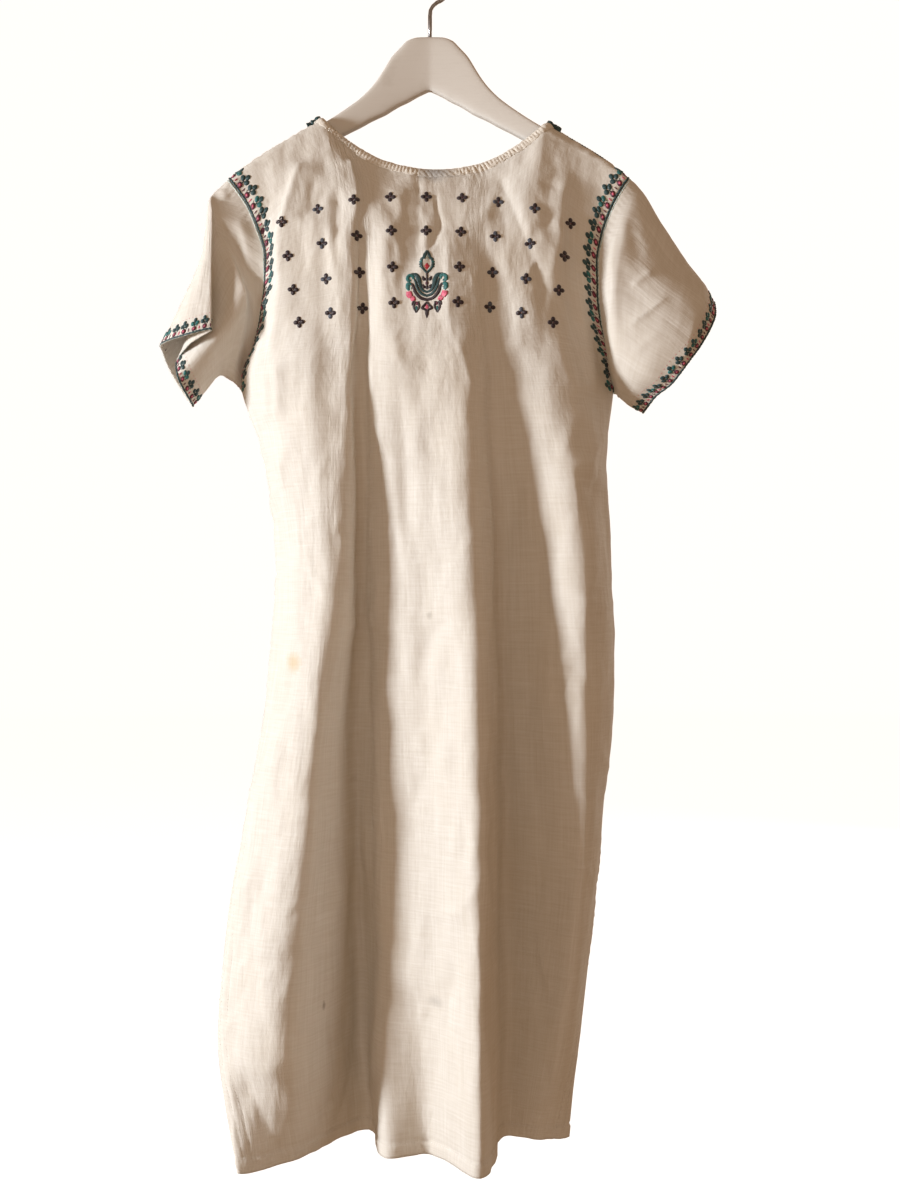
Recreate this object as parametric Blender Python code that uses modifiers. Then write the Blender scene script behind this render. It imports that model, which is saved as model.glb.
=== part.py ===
"""A calf-length cotton tunic hanging from a curved wooden hanger, at its real size.

Metres, +Z up. The origin is the inside top of the hook, where it rests on a rail.
The tunic's back faces -Y, and +X is to the right of someone who looks at the back.
Tables are in millimetres: "across" is X, "away" is Y (negative is nearer) and "up" is Z.

Pieces: back, front, left sleeve, right sleeve, a bias strip along each half of the
neckline, the hanger's wood and its hook. Each is cut apart from its neighbour by SEAM.
"""

import bpy
import bmesh
import math
import numpy as np
from dataclasses import dataclass
from mathutils import Vector
from mathutils.bvhtree import BVHTree

MM = 0.001

# Cloth
CLOTH = 1.2
SEAM = 0.3
SEAM_TRIM = 0.45
SLEEVE_START = 1.2
UNDERARM_START = 2.2
UNDERARM_REACH = 0.3
STRIP_THICKNESS = 0.8
STRIP_WIDTH = 9.0
STRIP_STEPS = 5

# Garment sizes
ARMPIT = -425.0
HEM = -1186.0
NECK_LEFT = -107.0
NECK_RIGHT = 115.0
BACK_NECK_DEPTH = 51.0
FRONT_NECK_DEPTH = 108.0
BACK_NECK_POWER = 2.2
FRONT_NECK_POWER = 2.0
SHOULDER_LEFT = -197.0
SHOULDER_RIGHT = 196.0

# Cloth turned over the hanger's edge
OVER_WOOD = 2.6
TURN_OUT = 8.6
TURN_DOWN = 9.0
TURN_FADE = 0.75
TOP_TRIM = 0.01
SLOPE_STEP = 10.0
SIDE_BLEND = 0.12
NECK_RISE = 3.0
BACK_NECK_BOW = 4.0
FRONT_NECK_BOW = 26.0

# Hanger
ARM_REACH = 201.0
WOOD_HALF = 6.2
ARM_SWEEP = 30.0
SWEEP_POWER = 1.25
WIRE_RADIUS = 2.0
HOOK_RADIUS = 20.0
STEM_SOCKET = 22.0

# Rows and columns added where the cloth turns over the hanger
TOP_COLUMN = 230.0
BACK_TOP_ROWS = (14.0, 9.0, 6.0, 3.6, 1.8, 0.8, 0.25, TOP_TRIM)
FRONT_TOP_ROWS = (15.0, 8.0, 3.0, TOP_TRIM)
TOP_ROWS_FROM = 0.9
BACK_NECK_COLUMNS = (1.2, 2.8, 4.8, 7.5, 11.0)
FRONT_NECK_COLUMNS = (2.5, 7.0)
STRIP_COLUMNS = (1.2, 2.4, 3.8, 5.6, 8.0, 11.0, 15.0)
STRIP_CORNER_LIFT = 1.0
STRIP_LIFT = 0.6

NECK_MIDDLE = Vector(((NECK_LEFT + NECK_RIGHT) / 2, 0.0, -150.0))

COLOURS = {
    "cloth": ((0.86, 0.80, 0.70, 1.0), 0.85, 0.0),
    "strip": ((0.88, 0.83, 0.74, 1.0), 0.85, 0.0),
    "wood": ((0.82, 0.80, 0.76, 1.0), 0.4, 0.0),
    "wire": ((0.62, 0.62, 0.64, 1.0), 0.25, 1.0),
}


@dataclass(frozen=True)
class FoldLine:
    """A line of the hanging cloth, from the armpit's level down to the hem."""

    name: str
    across: tuple
    away: tuple


@dataclass(frozen=True)
class SleeveLine:
    """A line along a sleeve, at three places between the armhole and the cuff."""

    name: str
    share: float
    near_armhole: tuple
    middle: tuple
    cuff: tuple


# Heights of the columns of the seam and fold tables
SEAM_LEVELS = (-425, -500, -590, -700, -830, -960, -1070, -1130, -1186)
FOLD_LEVELS = (-425, -590, -830, -1070, -1186)

LEFT_SEAM = FoldLine("left seam",
                     (-189, -165, -153, -161, -179, -202, -209, -199, -184),
                     (20, 20, 15, 10, 0, -10, -20, -40, -64))
RIGHT_SEAM = FoldLine("right seam",
                      (185, 177, 181, 186, 176, 165, 154, 147, 142),
                      (20, 20, 20, 20, 20, 30, 40, 45, 50))

# Below the slits the front's edges part from the back's by this much
LEFT_SLIT = FoldLine("left slit", (0, 0, 0, 0, 0, 0, 0, 4, 0), (0, 0, 0, 0, 0, 0, 0, 30, 78))
RIGHT_SLIT = FoldLine("right slit", (0, 0, 0, 0, 0, 0, 0, -1, -3), (0, 0, 0, 0, 0, 0, 0, 5, 12))

BACK_FOLDS = (
    FoldLine("left swell", (-152, -126, -153, -180, -162), (-30, -38, -43, -46, -58)),
    FoldLine("left slope", (-97, -98, -116, -138, -129), (-45, -52, -62, -60, -20)),
    FoldLine("left edge", (-77, -80, -92, -93, -91), (-50, -46, -20, 22, 48)),
    FoldLine("left valley", (-70, -72, -76, -71, -64), (-42, -15, 30, 65, 75)),
    FoldLine("centre left", (-62, -58, -56, -49, -43), (-46, -28, -14, -10, -18)),
    FoldLine("centre dip", (-9, -9, -5, -2, -2), (-55, -48, -40, -24, -5)),
    FoldLine("centre crest", (35, 43, 48, 49, 49), (-60, -70, -80, -85, -78)),
    FoldLine("crest edge", (50, 60, 64, 64, 62), (-53, -50, -38, -32, -40)),
    FoldLine("right valley", (62, 70, 75, 78, 77), (-40, -10, 20, 45, 50)),
    FoldLine("right plane", (122, 146, 152, 134, 112), (-46, -50, -44, 2, 40)),
)
BACK_NECK_FOLDS = (2, 10)

FRONT_FOLDS = (
    FoldLine("front left swell", (-150, -122, -150, -178, -166), (34, 34, 36, 36, 44)),
    FoldLine("front left dip", (-100, -92, -104, -116, -112), (40, 40, 46, 66, 78)),
    FoldLine("front left crest", (-52, -52, -56, -62, -60), (46, 56, 78, 106, 118)),
    FoldLine("front dip", (0, 0, -2, -2, -2), (40, 44, 56, 78, 88)),
    FoldLine("front crest", (48, 48, 46, 44, 42), (48, 60, 84, 108, 118)),
    FoldLine("front right dip", (102, 102, 100, 94, 90), (42, 46, 54, 76, 86)),
    FoldLine("front right swell", (150, 150, 148, 132, 122), (38, 48, 58, 80, 90)),
)
FRONT_NECK_FOLDS = (2, 6)

# Armhole seams from the armpit to the shoulder: across, up, and away on each panel
ARMHOLE_LEFT = ((-189, -425), (-188, -410), (-174, -381), (-166, -352), (-161, -318),
                (-161, -298), (-168, -272), (-177, -250), (-188, -233), (-197, -221))
ARMHOLE_RIGHT = ((185, -425), (184, -408), (176, -385), (169, -362), (165, -335),
                 (164, -305), (168, -280), (176, -256), (186, -236), (196, -221))
BACK_ARMHOLE_AWAY = (20, 10, -10, -22, -29, -31, -31, -30.5, -29.5, -28.5)
FRONT_ARMHOLE_AWAY = (20, 25, 28, 26, 20, 10, -6, -19, -26, -28.5)

LEFT_SLEEVE = (
    SleeveLine("top fold", 0.00, (-209, -30, -234), (-224, -35, -298), (-262, -37, -384)),
    SleeveLine("flap", 0.08, (-212, -42, -242), (-219, -51, -299), (-237, -53, -378)),
    SleeveLine("pleat edge", 0.17, (-211, -48, -254), (-211, -54, -306), (-211, -57, -373)),
    SleeveLine("tuck", 0.25, (-206, -43, -276), (-218, -43, -322), (-234, -45, -385)),
    SleeveLine("inner fold", 0.34, (-196, -41, -296), (-219, -32, -341), (-249, -26, -399)),
    SleeveLine("face", 0.45, (-180, -43, -340), (-203, -44, -372), (-247, -36, -416)),
    SleeveLine("underarm", 0.56, (-199, 8, -414), (-209, 0, -410), (-237, -8, -441)),
    SleeveLine("front low", 0.68, (-184, 34, -372), (-214, 22, -388), (-250, 8, -424)),
    SleeveLine("front face", 0.80, (-180, 30, -315), (-214, 24, -345), (-262, 4, -402)),
    SleeveLine("front high", 0.91, (-203, 0, -252), (-221, -6, -308), (-265, -14, -388)),
)
RIGHT_SLEEVE = (
    SleeveLine("top fold", 0.00, (206, -30, -230), (240, -24, -281), (282, -12, -340)),
    SleeveLine("back high", 0.12, (193, -50, -268), (231, -44, -312), (280, -32, -357)),
    SleeveLine("back face", 0.27, (182, -52, -330), (221, -52, -356), (262, -45, -389)),
    SleeveLine("back low", 0.40, (187, -38, -392), (211, -42, -408), (238, -36, -414)),
    SleeveLine("underarm", 0.50, (193, 14, -430), (200, 8, -438), (214, 0, -447)),
    SleeveLine("front low", 0.62, (191, 38, -388), (215, 34, -408), (238, 24, -416)),
    SleeveLine("front face", 0.75, (184, 34, -320), (224, 34, -352), (264, 24, -387)),
    SleeveLine("front high", 0.89, (200, 2, -252), (237, 6, -302), (284, 4, -352)),
)
SLEEVE_LEVELS = (0.18, 0.58, 1.0)

# Edges of the hanger's wood, outwards from the middle: across, top, bottom
WOOD_EDGES = (
    (0, -72, -125), (12, -72.6, -131), (22, -76, -137), (30, -84, -141), (38, -93, -146),
    (44, -103, -150), (50, -113, -153), (58, -124, -157), (68, -134.5, -163), (81, -145, -170),
    (107, -163, -186), (136, -180, -204), (168, -200, -224), (190, -217.5, -239), (201, -228, -246),
)


def clear_scene():
    """Remove the objects of the open scene."""
    for item in list(bpy.data.objects):
        bpy.data.objects.remove(item, do_unlink=True)


def material(name):
    """Make the Principled material called name."""
    colour, roughness, metallic = COLOURS[name]
    made = bpy.data.materials.new(name)
    made.use_nodes = True
    shader = made.node_tree.nodes["Principled BSDF"]
    shader.inputs["Base Color"].default_value = colour
    shader.inputs["Roughness"].default_value = roughness
    shader.inputs["Metallic"].default_value = metallic
    made.diffuse_color = colour
    return made


def ease(share):
    """Rise smoothly from 0 to 1 as share does."""
    share = np.clip(share, 0.0, 1.0)
    return share * share * (3.0 - 2.0 * share)


def through(knots, values, where):
    """Read a smooth curve through values at rising knots, without overshoot."""
    knots = np.asarray(knots, float)
    values = np.asarray(values, float)
    if knots[0] > knots[-1]:
        knots, values = knots[::-1], values[::-1]
    flat = values.reshape(len(knots), -1)
    steps = np.diff(knots)[:, None]
    slopes = np.diff(flat, axis=0) / steps
    tangents = np.zeros_like(flat)
    tangents[0], tangents[-1] = slopes[0], slopes[-1]
    before, after = slopes[:-1], slopes[1:]
    same = before * after > 0.0
    weight_a = 2.0 * steps[1:] + steps[:-1]
    weight_b = steps[1:] + 2.0 * steps[:-1]
    safe_before = np.where(same, before, 1.0)
    safe_after = np.where(same, after, 1.0)
    mean = (weight_a + weight_b) / (weight_a / safe_before + weight_b / safe_after)
    tangents[1:-1] = np.where(same, mean, 0.0)
    where = np.clip(np.atleast_1d(np.asarray(where, float)), knots[0], knots[-1])
    span = np.clip(np.searchsorted(knots, where, side="right") - 1, 0, len(knots) - 2)
    width = steps[span]
    t = ((where - knots[span]) / steps[span, 0])[:, None]
    result = ((2 * t**3 - 3 * t**2 + 1) * flat[span] + (t**3 - 2 * t**2 + t) * width * tangents[span]
              + (3 * t**2 - 2 * t**3) * flat[span + 1] + (t**3 - t**2) * width * tangents[span + 1])
    return result.reshape((len(where),) + values.shape[1:])


def chain(points, places):
    """Read a curve through points[1:-1] at places 0, 1, 2...; the end points only aim it."""
    points = np.asarray(points, float)
    reach = np.sqrt(np.linalg.norm(np.diff(points, axis=0), axis=1)) + 1e-9
    knots = np.concatenate(([0.0], np.cumsum(reach)))
    ahead = np.diff(points, axis=0) / reach[:, None]
    tangents = (reach[1:, None] * ahead[:-1] + reach[:-1, None] * ahead[1:]) \
        / (reach[:-1] + reach[1:])[:, None]
    inner = points[1:-1]
    places = np.clip(np.asarray(places, float), 0.0, len(inner) - 1.0)
    span = np.minimum(places.astype(int), len(inner) - 2)
    t = (places - span)[:, None]
    width = np.diff(knots[1:-1])[span][:, None]
    return ((2 * t**3 - 3 * t**2 + 1) * inner[span] + (t**3 - 2 * t**2 + t) * width * tangents[span]
            + (3 * t**2 - 2 * t**3) * inner[span + 1] + (t**3 - t**2) * width * tangents[span + 1])


def run_shares(points):
    """Give each point's share of the whole length of a line."""
    steps = np.linalg.norm(np.diff(points, axis=0), axis=1)
    total = np.concatenate(([0.0], np.cumsum(steps)))
    return total / total[-1]


def along(points, shares):
    """Read a line of points at shares of its length."""
    place = run_shares(points)
    return np.stack([np.interp(shares, place, points[:, axis]) for axis in range(3)], axis=1)


def wood_top(across):
    """Height of the hanger's upper edge."""
    table = np.asarray(WOOD_EDGES, float)
    return through(table[:, 0], table[:, 1], np.abs(across))


def ridge(across):
    """Height of the shoulder seam over the wood, which lifts off it towards the neck."""
    across = np.asarray(across, float)
    neck = np.where(across < 0, NECK_LEFT, NECK_RIGHT)
    shoulder = np.where(across < 0, SHOULDER_LEFT, SHOULDER_RIGHT)
    near_neck = np.clip((across - shoulder) / (neck - shoulder), 0.0, 1.0)
    return wood_top(across) + OVER_WOOD + NECK_RISE * near_neck**3


def hanger_away(across):
    """How far the hanger's arms sweep towards the viewer."""
    return -ARM_SWEEP * (np.abs(across) / ARM_REACH) ** SWEEP_POWER


class Panel:
    """The back or the front of the tunic, as a surface over (place across, height).

    Height runs from 0 at the hem to 1 at the armpit and 2 at the shoulder seam and
    the neckline.
    """

    def __init__(self, side, folds, other_folds, neck_folds, armhole_away):
        self.side = side
        self.folds = folds
        self.other = other_folds
        self.neck_folds = neck_folds
        self.last = len(folds) + 1
        self.left_hole = self.armhole(ARMHOLE_LEFT, armhole_away)
        self.right_hole = self.armhole(ARMHOLE_RIGHT, armhole_away)

    @staticmethod
    def armhole(outline, away):
        """Join an armhole's outline with its distance from the viewer."""
        outline = np.asarray(outline, float)
        line = np.stack([outline[:, 0], np.asarray(away, float), outline[:, 1]], axis=1)
        fine = through(run_shares(line), line, np.linspace(0.0, 1.0, 80))
        return fine

    @staticmethod
    def line_at(fold, levels, height):
        """Read a fold or seam line at one height."""
        across = through(levels, fold.across, height)[0]
        away = through(levels, fold.away, height)[0]
        return np.array([across, away])

    def seam_at(self, seam, slit, height, side):
        """Read a side seam, or below the slit's top that panel's own edge."""
        place = self.line_at(seam, SEAM_LEVELS, height)
        if side > 0:
            place = place + self.line_at(slit, SEAM_LEVELS, height)
        return place

    def section(self, height, places):
        """Cut the panel by a level plane below the armpit."""
        left = self.seam_at(LEFT_SEAM, LEFT_SLIT, height, self.side)
        right = self.seam_at(RIGHT_SEAM, RIGHT_SLIT, height, self.side)
        lines = [self.line_at(fold, FOLD_LEVELS, height) for fold in self.folds]
        beyond_left = self.line_at(self.other[0], FOLD_LEVELS, height)
        beyond_right = self.line_at(self.other[-1], FOLD_LEVELS, height)
        flat = chain([beyond_left, left] + lines + [right, beyond_right], places)
        return np.column_stack([flat, np.full(len(flat), height)])

    def shares(self, places):
        """Share of the panel's width at the armpit's level, at each place across."""
        fine = np.linspace(0.0, self.last, 60 * self.last + 1)
        cut = run_shares(self.section(ARMPIT, fine))
        return np.interp(places, fine, cut)

    def top_edge(self, places):
        """The shoulder seams and the neckline."""
        shares = self.shares(places)
        left, right = self.shares(np.asarray(self.neck_folds, float))
        depth = BACK_NECK_DEPTH if self.side < 0 else FRONT_NECK_DEPTH
        power = BACK_NECK_POWER if self.side < 0 else FRONT_NECK_POWER
        on_left = shares / left
        on_right = (shares - right) / (1.0 - right)
        on_neck = np.clip((shares - left) / (right - left), 0.0, 1.0)
        reach = self.neck_reach(on_neck, depth, power)
        across = np.where(
            shares < left, SHOULDER_LEFT + (NECK_LEFT - SHOULDER_LEFT) * on_left,
            np.where(shares > right, NECK_RIGHT + (SHOULDER_RIGHT - NECK_RIGHT) * on_right,
                     (NECK_LEFT + NECK_RIGHT) / 2 + reach * (NECK_RIGHT - NECK_LEFT) / 2))
        dip = depth * (1.0 - np.abs(reach) ** power)
        on_wood = (shares <= left) | (shares >= right)
        neck_points = ridge(NECK_LEFT) * (1.0 - on_neck) + ridge(NECK_RIGHT) * on_neck
        up = np.where(on_wood, ridge(across), neck_points - dip)
        bow = BACK_NECK_BOW if self.side < 0 else FRONT_NECK_BOW
        corner = hanger_away(NECK_LEFT) * (1.0 - on_neck) + hanger_away(NECK_RIGHT) * on_neck
        away = np.where(on_wood, hanger_away(across), corner + self.side * bow * (1.0 - reach**2))
        return np.column_stack([across, away, up])

    @staticmethod
    def neck_reach(on_neck, depth, power):
        """Spread points evenly along the neckline's curve, from -1 to 1."""
        fine = np.linspace(-1.0, 1.0, 401)
        half = (NECK_RIGHT - NECK_LEFT) / 2
        curve = np.column_stack([fine * half, depth * (1.0 - np.abs(fine) ** power),
                                 np.zeros(len(fine))])
        return np.interp(on_neck, run_shares(curve), fine)

    def row(self, height, places):
        """Points of the panel at one height, at the given places across."""
        places = np.asarray(places, float)
        if height <= 1.0:
            return self.section(HEM + (ARMPIT - HEM) * height, places)
        rise = height - 1.0
        plain = self.patch(rise, places)
        below = ridge(plain[:, 0]) - plain[:, 2]
        turn = np.sqrt(1.0 - (1.0 - np.clip(below / TURN_DOWN, 0.0, 1.0)) ** 2)
        plain[:, 1] += self.side * TURN_OUT * turn * ease(rise / TURN_FADE)
        return plain

    def patch(self, rise, places):
        """Blend the armpit's section, the armholes and the top edge."""
        ends = np.array([0.0, float(self.last)])
        bottom = self.section(ARMPIT, places)
        top = self.top_edge(places)
        corner_low = self.section(ARMPIT, ends)
        corner_top = self.top_edge(ends)
        side = self.shares(places)[:, None]
        left = along(self.left_hole, [rise])[0]
        right = along(self.right_hole, [rise])[0]
        left = left + (1 - rise) * (corner_low[0] - self.left_hole[0]) \
            + rise * (corner_top[0] - self.left_hole[-1])
        right = right + (1 - rise) * (corner_low[1] - self.right_hole[0]) \
            + rise * (corner_top[1] - self.right_hole[-1])
        below = self.section(ARMPIT - SLOPE_STEP, places)
        hang = (bottom - below) / SLOPE_STEP * (top[:, 2:] - bottom[:, 2:])
        lead = (hang - (top - bottom)) * np.array([1.0, 1.0, 0.0])
        inside = ease(np.minimum(side, 1.0 - side) / SIDE_BLEND)
        bottom = bottom + lead * inside * rise * (1 - rise)
        ruled = (1 - rise) * bottom + rise * top + (1 - side) * left + side * right
        corners = ((1 - rise) * ((1 - side) * corner_low[0] + side * corner_low[1])
                   + rise * ((1 - side) * corner_top[0] + side * corner_top[1]))
        return ruled - corners

    def surface(self, heights, places):
        """Rows of points, from the hem up, trimmed by half a seam at each side."""
        rows = []
        for height in heights:
            line = self.row(height, places)
            reach = run_length(line)
            trimmed = np.clip(reach, SEAM_TRIM, reach[-1] - SEAM_TRIM)
            rows.append(np.stack([np.interp(trimmed, reach, line[:, axis]) for axis in range(3)],
                                 axis=1))
        return np.array(rows)

    def edge(self, right, count):
        """The armhole's edge from the shoulder down to the armpit, evenly spread."""
        place = [float(self.last) if right else 0.0]
        heights = np.concatenate((2.0 - 0.1 * np.linspace(0.0, 1.0, 25) ** 2,
                                  np.linspace(1.9, 1.0, 90)[1:]))
        line = np.array([self.row(height, place)[0] for height in heights])
        return along(line, np.linspace(0.0, 1.0, count))


class Sleeve:
    """A sleeve as rings from the armhole to the cuff."""

    def __init__(self, lines, right, back, front):
        self.lines = lines
        self.right = right
        self.knots = np.array([line.share for line in lines] + [1.0])
        self.underarm = next(line.share for line in lines if line.name == "underarm")
        self.back_edge = back.edge(right, 240)
        self.front_edge = front.edge(right, 240)

    def armhole(self, shares):
        """The armhole's ring: down the back's edge, and up the front's."""
        shares = np.asarray(shares, float)
        down = along(self.back_edge, np.clip(shares / self.underarm, 0.0, 1.0))
        up = np.clip((1.0 - shares) / (1.0 - self.underarm), 0.0, 1.0)
        rise = along(self.front_edge, up)
        return np.where((shares <= self.underarm)[:, None], down, rise)

    def ring(self, level, shares):
        """The ring at a share of the way to the cuff."""
        places = np.interp(shares, self.knots, np.arange(len(self.knots)))
        start = self.armhole(shares)
        knots = (0.0,) + SLEEVE_LEVELS
        starts = self.armhole(self.knots[:-1])
        lines = []
        for line, first in zip(self.lines, starts):
            table = np.array([first, line.near_armhole, line.middle, line.cuff], float)
            lines.append(through(knots, table, level)[0])
        closed = [lines[-1]] + lines + [lines[0], lines[1]]
        ring = chain(closed, places)
        closed_start = [starts[-1]] + list(starts) + [starts[0], starts[1]]
        plain = chain(closed_start, places)
        return ring + (start - plain) * (1.0 - ease(level / SLEEVE_LEVELS[0]))

    def surface(self, levels, shares):
        """Rings of points, the first one moved off the armhole by the seam's gap."""
        rings = np.array([self.ring(level, shares) for level in levels])
        outward = rings[1] - rings[0]
        around = np.roll(rings[0], -1, axis=0) - np.roll(rings[0], 1, axis=0)
        around /= np.linalg.norm(around, axis=1)[:, None]
        outward -= around * np.sum(outward * around, axis=1)[:, None]
        outward /= np.linalg.norm(outward, axis=1)[:, None]
        under = np.clip(1.0 - np.abs(np.asarray(shares) - self.underarm)
                        / UNDERARM_REACH, 0.0, 1.0)
        rings[0] = rings[0] + outward * (SLEEVE_START + UNDERARM_START * under)[:, None]
        return rings


def run_length(line):
    """Length along a line at each of its points."""
    return np.concatenate(([0.0], np.cumsum(np.linalg.norm(np.diff(line, axis=0), axis=1))))


def normals(grid, around=False):
    """Unit normals of a grid of points."""
    if around:
        wrapped = np.concatenate((grid[:, -1:], grid, grid[:, :1]), axis=1)
        across = (wrapped[:, 2:] - wrapped[:, :-2])
    else:
        across = np.gradient(grid, axis=1)
    up = np.gradient(grid, axis=0)
    normal = np.cross(across, up)
    return normal / np.maximum(np.linalg.norm(normal, axis=2), 1e-12)[:, :, None]


def loft(name, grid, around=False, capped=False):
    """Make an object from rows of points in millimetres, joined row to row."""
    rows, columns = grid.shape[:2]
    mesh = bmesh.new()
    verts = [[mesh.verts.new(point * MM) for point in row] for row in grid]
    reach = columns if around else columns - 1
    for low, high in zip(verts[:-1], verts[1:]):
        for index in range(reach):
            after = (index + 1) % columns
            mesh.faces.new((low[index], low[after], high[after], high[index]))
    if capped:
        mesh.faces.new(list(reversed(verts[0])))
        mesh.faces.new(verts[-1])
        bmesh.ops.recalc_face_normals(mesh, faces=mesh.faces)
    data = bpy.data.meshes.new(name)
    mesh.to_mesh(data)
    mesh.free()
    data.shade_smooth()
    return bpy.data.objects.new(name, data)


def cloth_piece(name, grid, look, collection, around=False, thickness=CLOTH):
    """A lofted wall of cloth, thickened to both sides of its surface."""
    piece = loft(name, grid, around)
    wall = piece.modifiers.new("cloth", "SOLIDIFY")
    wall.thickness = thickness * MM
    wall.offset = 0.0
    piece.data.materials.append(look)
    collection.objects.link(piece)
    return piece


def panel_places(panel, between):
    """Places across a panel: every fold line, steps between, and more near the neck points."""
    places = list(np.linspace(0.0, panel.last, panel.last * between + 1))
    first, last = (float(place) for place in panel.neck_folds)
    fine = np.linspace(0.0, panel.last, 60 * panel.last + 1)
    edge = run_length(panel.top_edge(fine))
    for corner, side in ((first, 1.0), (last, -1.0)):
        start = np.interp(corner, fine, edge)
        for distance in BACK_NECK_COLUMNS if panel.side < 0 else FRONT_NECK_COLUMNS:
            places.append(float(np.interp(start + side * distance, edge, fine)))
        places.append(float(np.interp(start - side * 4.0, edge, fine)))
    places += [0.08, 0.2, panel.last - 0.2, panel.last - 0.08]
    places = sorted(places)
    kept = [places[0]]
    for place in places[1:]:
        if place - kept[-1] > 0.02:
            kept.append(place)
    return np.array(kept)


def panel_heights(lower, upper, top_rows):
    """Heights of a panel's rows, from the hem to the top edge."""
    below = np.linspace(0.0, 1.0, lower + 1)
    above = 1.0 + np.linspace(0.0, TOP_ROWS_FROM, upper + 1)[1:]
    over = [2.0 - drop / TOP_COLUMN for drop in top_rows]
    return np.concatenate((below, above, over))


def neck_strip(panel, body):
    """The bias strip along one half of the neckline, laid on the panel from its edge."""
    tree = BVHTree.FromPolygons(*grid_faces(body))
    first, last = (float(place) for place in panel.neck_folds)
    fine = np.linspace(first, last, 400)
    length = run_length(panel.top_edge(fine))
    even = np.linspace(STRIP_COLUMNS[-1] + 8.0, length[-1] - STRIP_COLUMNS[-1] - 8.0, 23)
    close = np.array((0.0,) + STRIP_COLUMNS)
    spread = np.concatenate((close, even, length[-1] - close[::-1]))
    places = np.interp(spread, length, fine)
    edge = panel.row(2.0 - TOP_TRIM / TOP_COLUMN, places)
    ahead = np.gradient(edge, axis=0)
    seams = panel.row(2.0 - TOP_TRIM / TOP_COLUMN, [first - 0.15, first, last, last + 0.15])
    lift = CLOTH / 2 + SEAM + STRIP_THICKNESS / 2 + STRIP_LIFT
    lifts = [lift + STRIP_CORNER_LIFT * max(0.0, 1.0 - min(index, len(edge) - 1 - index) / 9.0)
             for index in range(len(edge))]
    columns = []
    for index, (start, tangent) in enumerate(zip(edge, ahead)):
        point = Vector(start)
        near = min(index, len(edge) - 1 - index)
        outer = seams[0] - seams[1] if index < len(edge) / 2 else seams[3] - seams[2]
        mix = max(0.0, 1.0 - near / 4.0)
        column = []
        for step in range(STRIP_STEPS):
            place, normal, _, _ = tree.find_nearest(point)
            if normal.y * panel.side < 0:
                normal = -normal
            column.append(place + normal * lifts[index])
            inward = Vector(tangent).cross(normal).normalized()
            if inward.dot(place - NECK_MIDDLE) < 0:
                inward = -inward
            inward = (inward * (1.0 - mix) + Vector(outer).normalized() * mix).normalized()
            point = place + inward * (STRIP_WIDTH / (STRIP_STEPS - 1))
        columns.append(column)
    grid = np.array(columns).transpose(1, 0, 2)
    grid[:, 0, 1] += panel.side * SEAM
    grid[:, -1, 1] += panel.side * SEAM
    return grid


def grid_faces(grid):
    """A grid's points and quads."""
    rows, columns = grid.shape[:2]
    points = [tuple(point) for point in grid.reshape(-1, 3)]
    faces = [(row * columns + column, row * columns + column + 1,
              (row + 1) * columns + column + 1, (row + 1) * columns + column)
             for row in range(rows - 1) for column in range(columns - 1)]
    return points, faces


def hanger_wood(collection):
    """The hanger's two arms as one bent piece of wood, bored for the hook's stem."""
    table = np.asarray(WOOD_EDGES, float)
    half = np.concatenate((np.linspace(0.0, 50.0, 11), np.linspace(58.0, 192.0, 12),
                           (196.0, 199.0, 200.6)))
    across = np.concatenate((-half[:0:-1], half))
    tops = through(table[:, 0], table[:, 1], np.abs(across))
    lows = through(table[:, 0], table[:, 2], np.abs(across))
    near_end = np.clip((np.abs(across) - 192.0) / (ARM_REACH - 192.0), 0.0, 1.0)
    rounding = np.sqrt(np.maximum(1.0 - near_end**2, 0.04))
    rings = []
    for x, top, low, full in zip(across, tops, lows, rounding):
        angle = np.linspace(0.0, 2 * math.pi, 14, endpoint=False)
        wide = np.sign(np.cos(angle)) * np.abs(np.cos(angle)) ** 0.7
        tall = np.sign(np.sin(angle)) * np.abs(np.sin(angle)) ** 0.8
        middle = (top + low) / 2
        ring = np.column_stack([np.full(14, x), hanger_away(x) + WOOD_HALF * full * wide,
                                middle + (top - low) / 2 * full * tall])
        rings.append(ring)
    wood = loft("hanger_wood", np.array(rings), around=True, capped=True)
    wood.data.materials.append(material("wood"))
    collection.objects.link(wood)
    return wood


def socket_cutter(collection):
    """The hole that the hook's stem is screwed into."""
    bpy.ops.mesh.primitive_cylinder_add(
        vertices=16, radius=(WIRE_RADIUS + SEAM) * MM, depth=2 * STEM_SOCKET * MM,
        location=(0.0, 0.0, WOOD_EDGES[0][1] * MM))
    cutter = bpy.context.object
    cutter.name = "stem_socket"
    for owner in list(cutter.users_collection):
        owner.objects.unlink(cutter)
    collection.objects.link(cutter)
    cutter.hide_render = True
    cutter.display_type = "WIRE"
    return cutter


def hanger_hook(collection):
    """The wire hook: a stem, a bend to the right, and three quarters of a circle."""
    centre = WIRE_RADIUS - HOOK_RADIUS
    foot = WOOD_EDGES[0][1] - STEM_SOCKET + 1.0
    points = [(0.0, foot), (0.0, -60.0), (0.0, -50.0), (0.6, -44.5), (3.0, -40.2), (7.0, -36.6)]
    for step in range(17):
        angle = math.radians(-58.0 + step * 16.0)
        points.append((HOOK_RADIUS * math.cos(angle), centre + HOOK_RADIUS * math.sin(angle)))
    curve = bpy.data.curves.new("hanger_hook", "CURVE")
    curve.dimensions = "3D"
    curve.bevel_depth = WIRE_RADIUS * MM
    curve.bevel_resolution = 2
    curve.use_fill_caps = True
    spline = curve.splines.new("POLY")
    spline.points.add(len(points) - 1)
    for target, (x, z) in zip(spline.points, points):
        target.co = (x * MM, 0.0, z * MM, 1.0)
    hook = bpy.data.objects.new("hanger_hook", curve)
    curve.materials.append(material("wire"))
    collection.objects.link(hook)
    return hook


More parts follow.
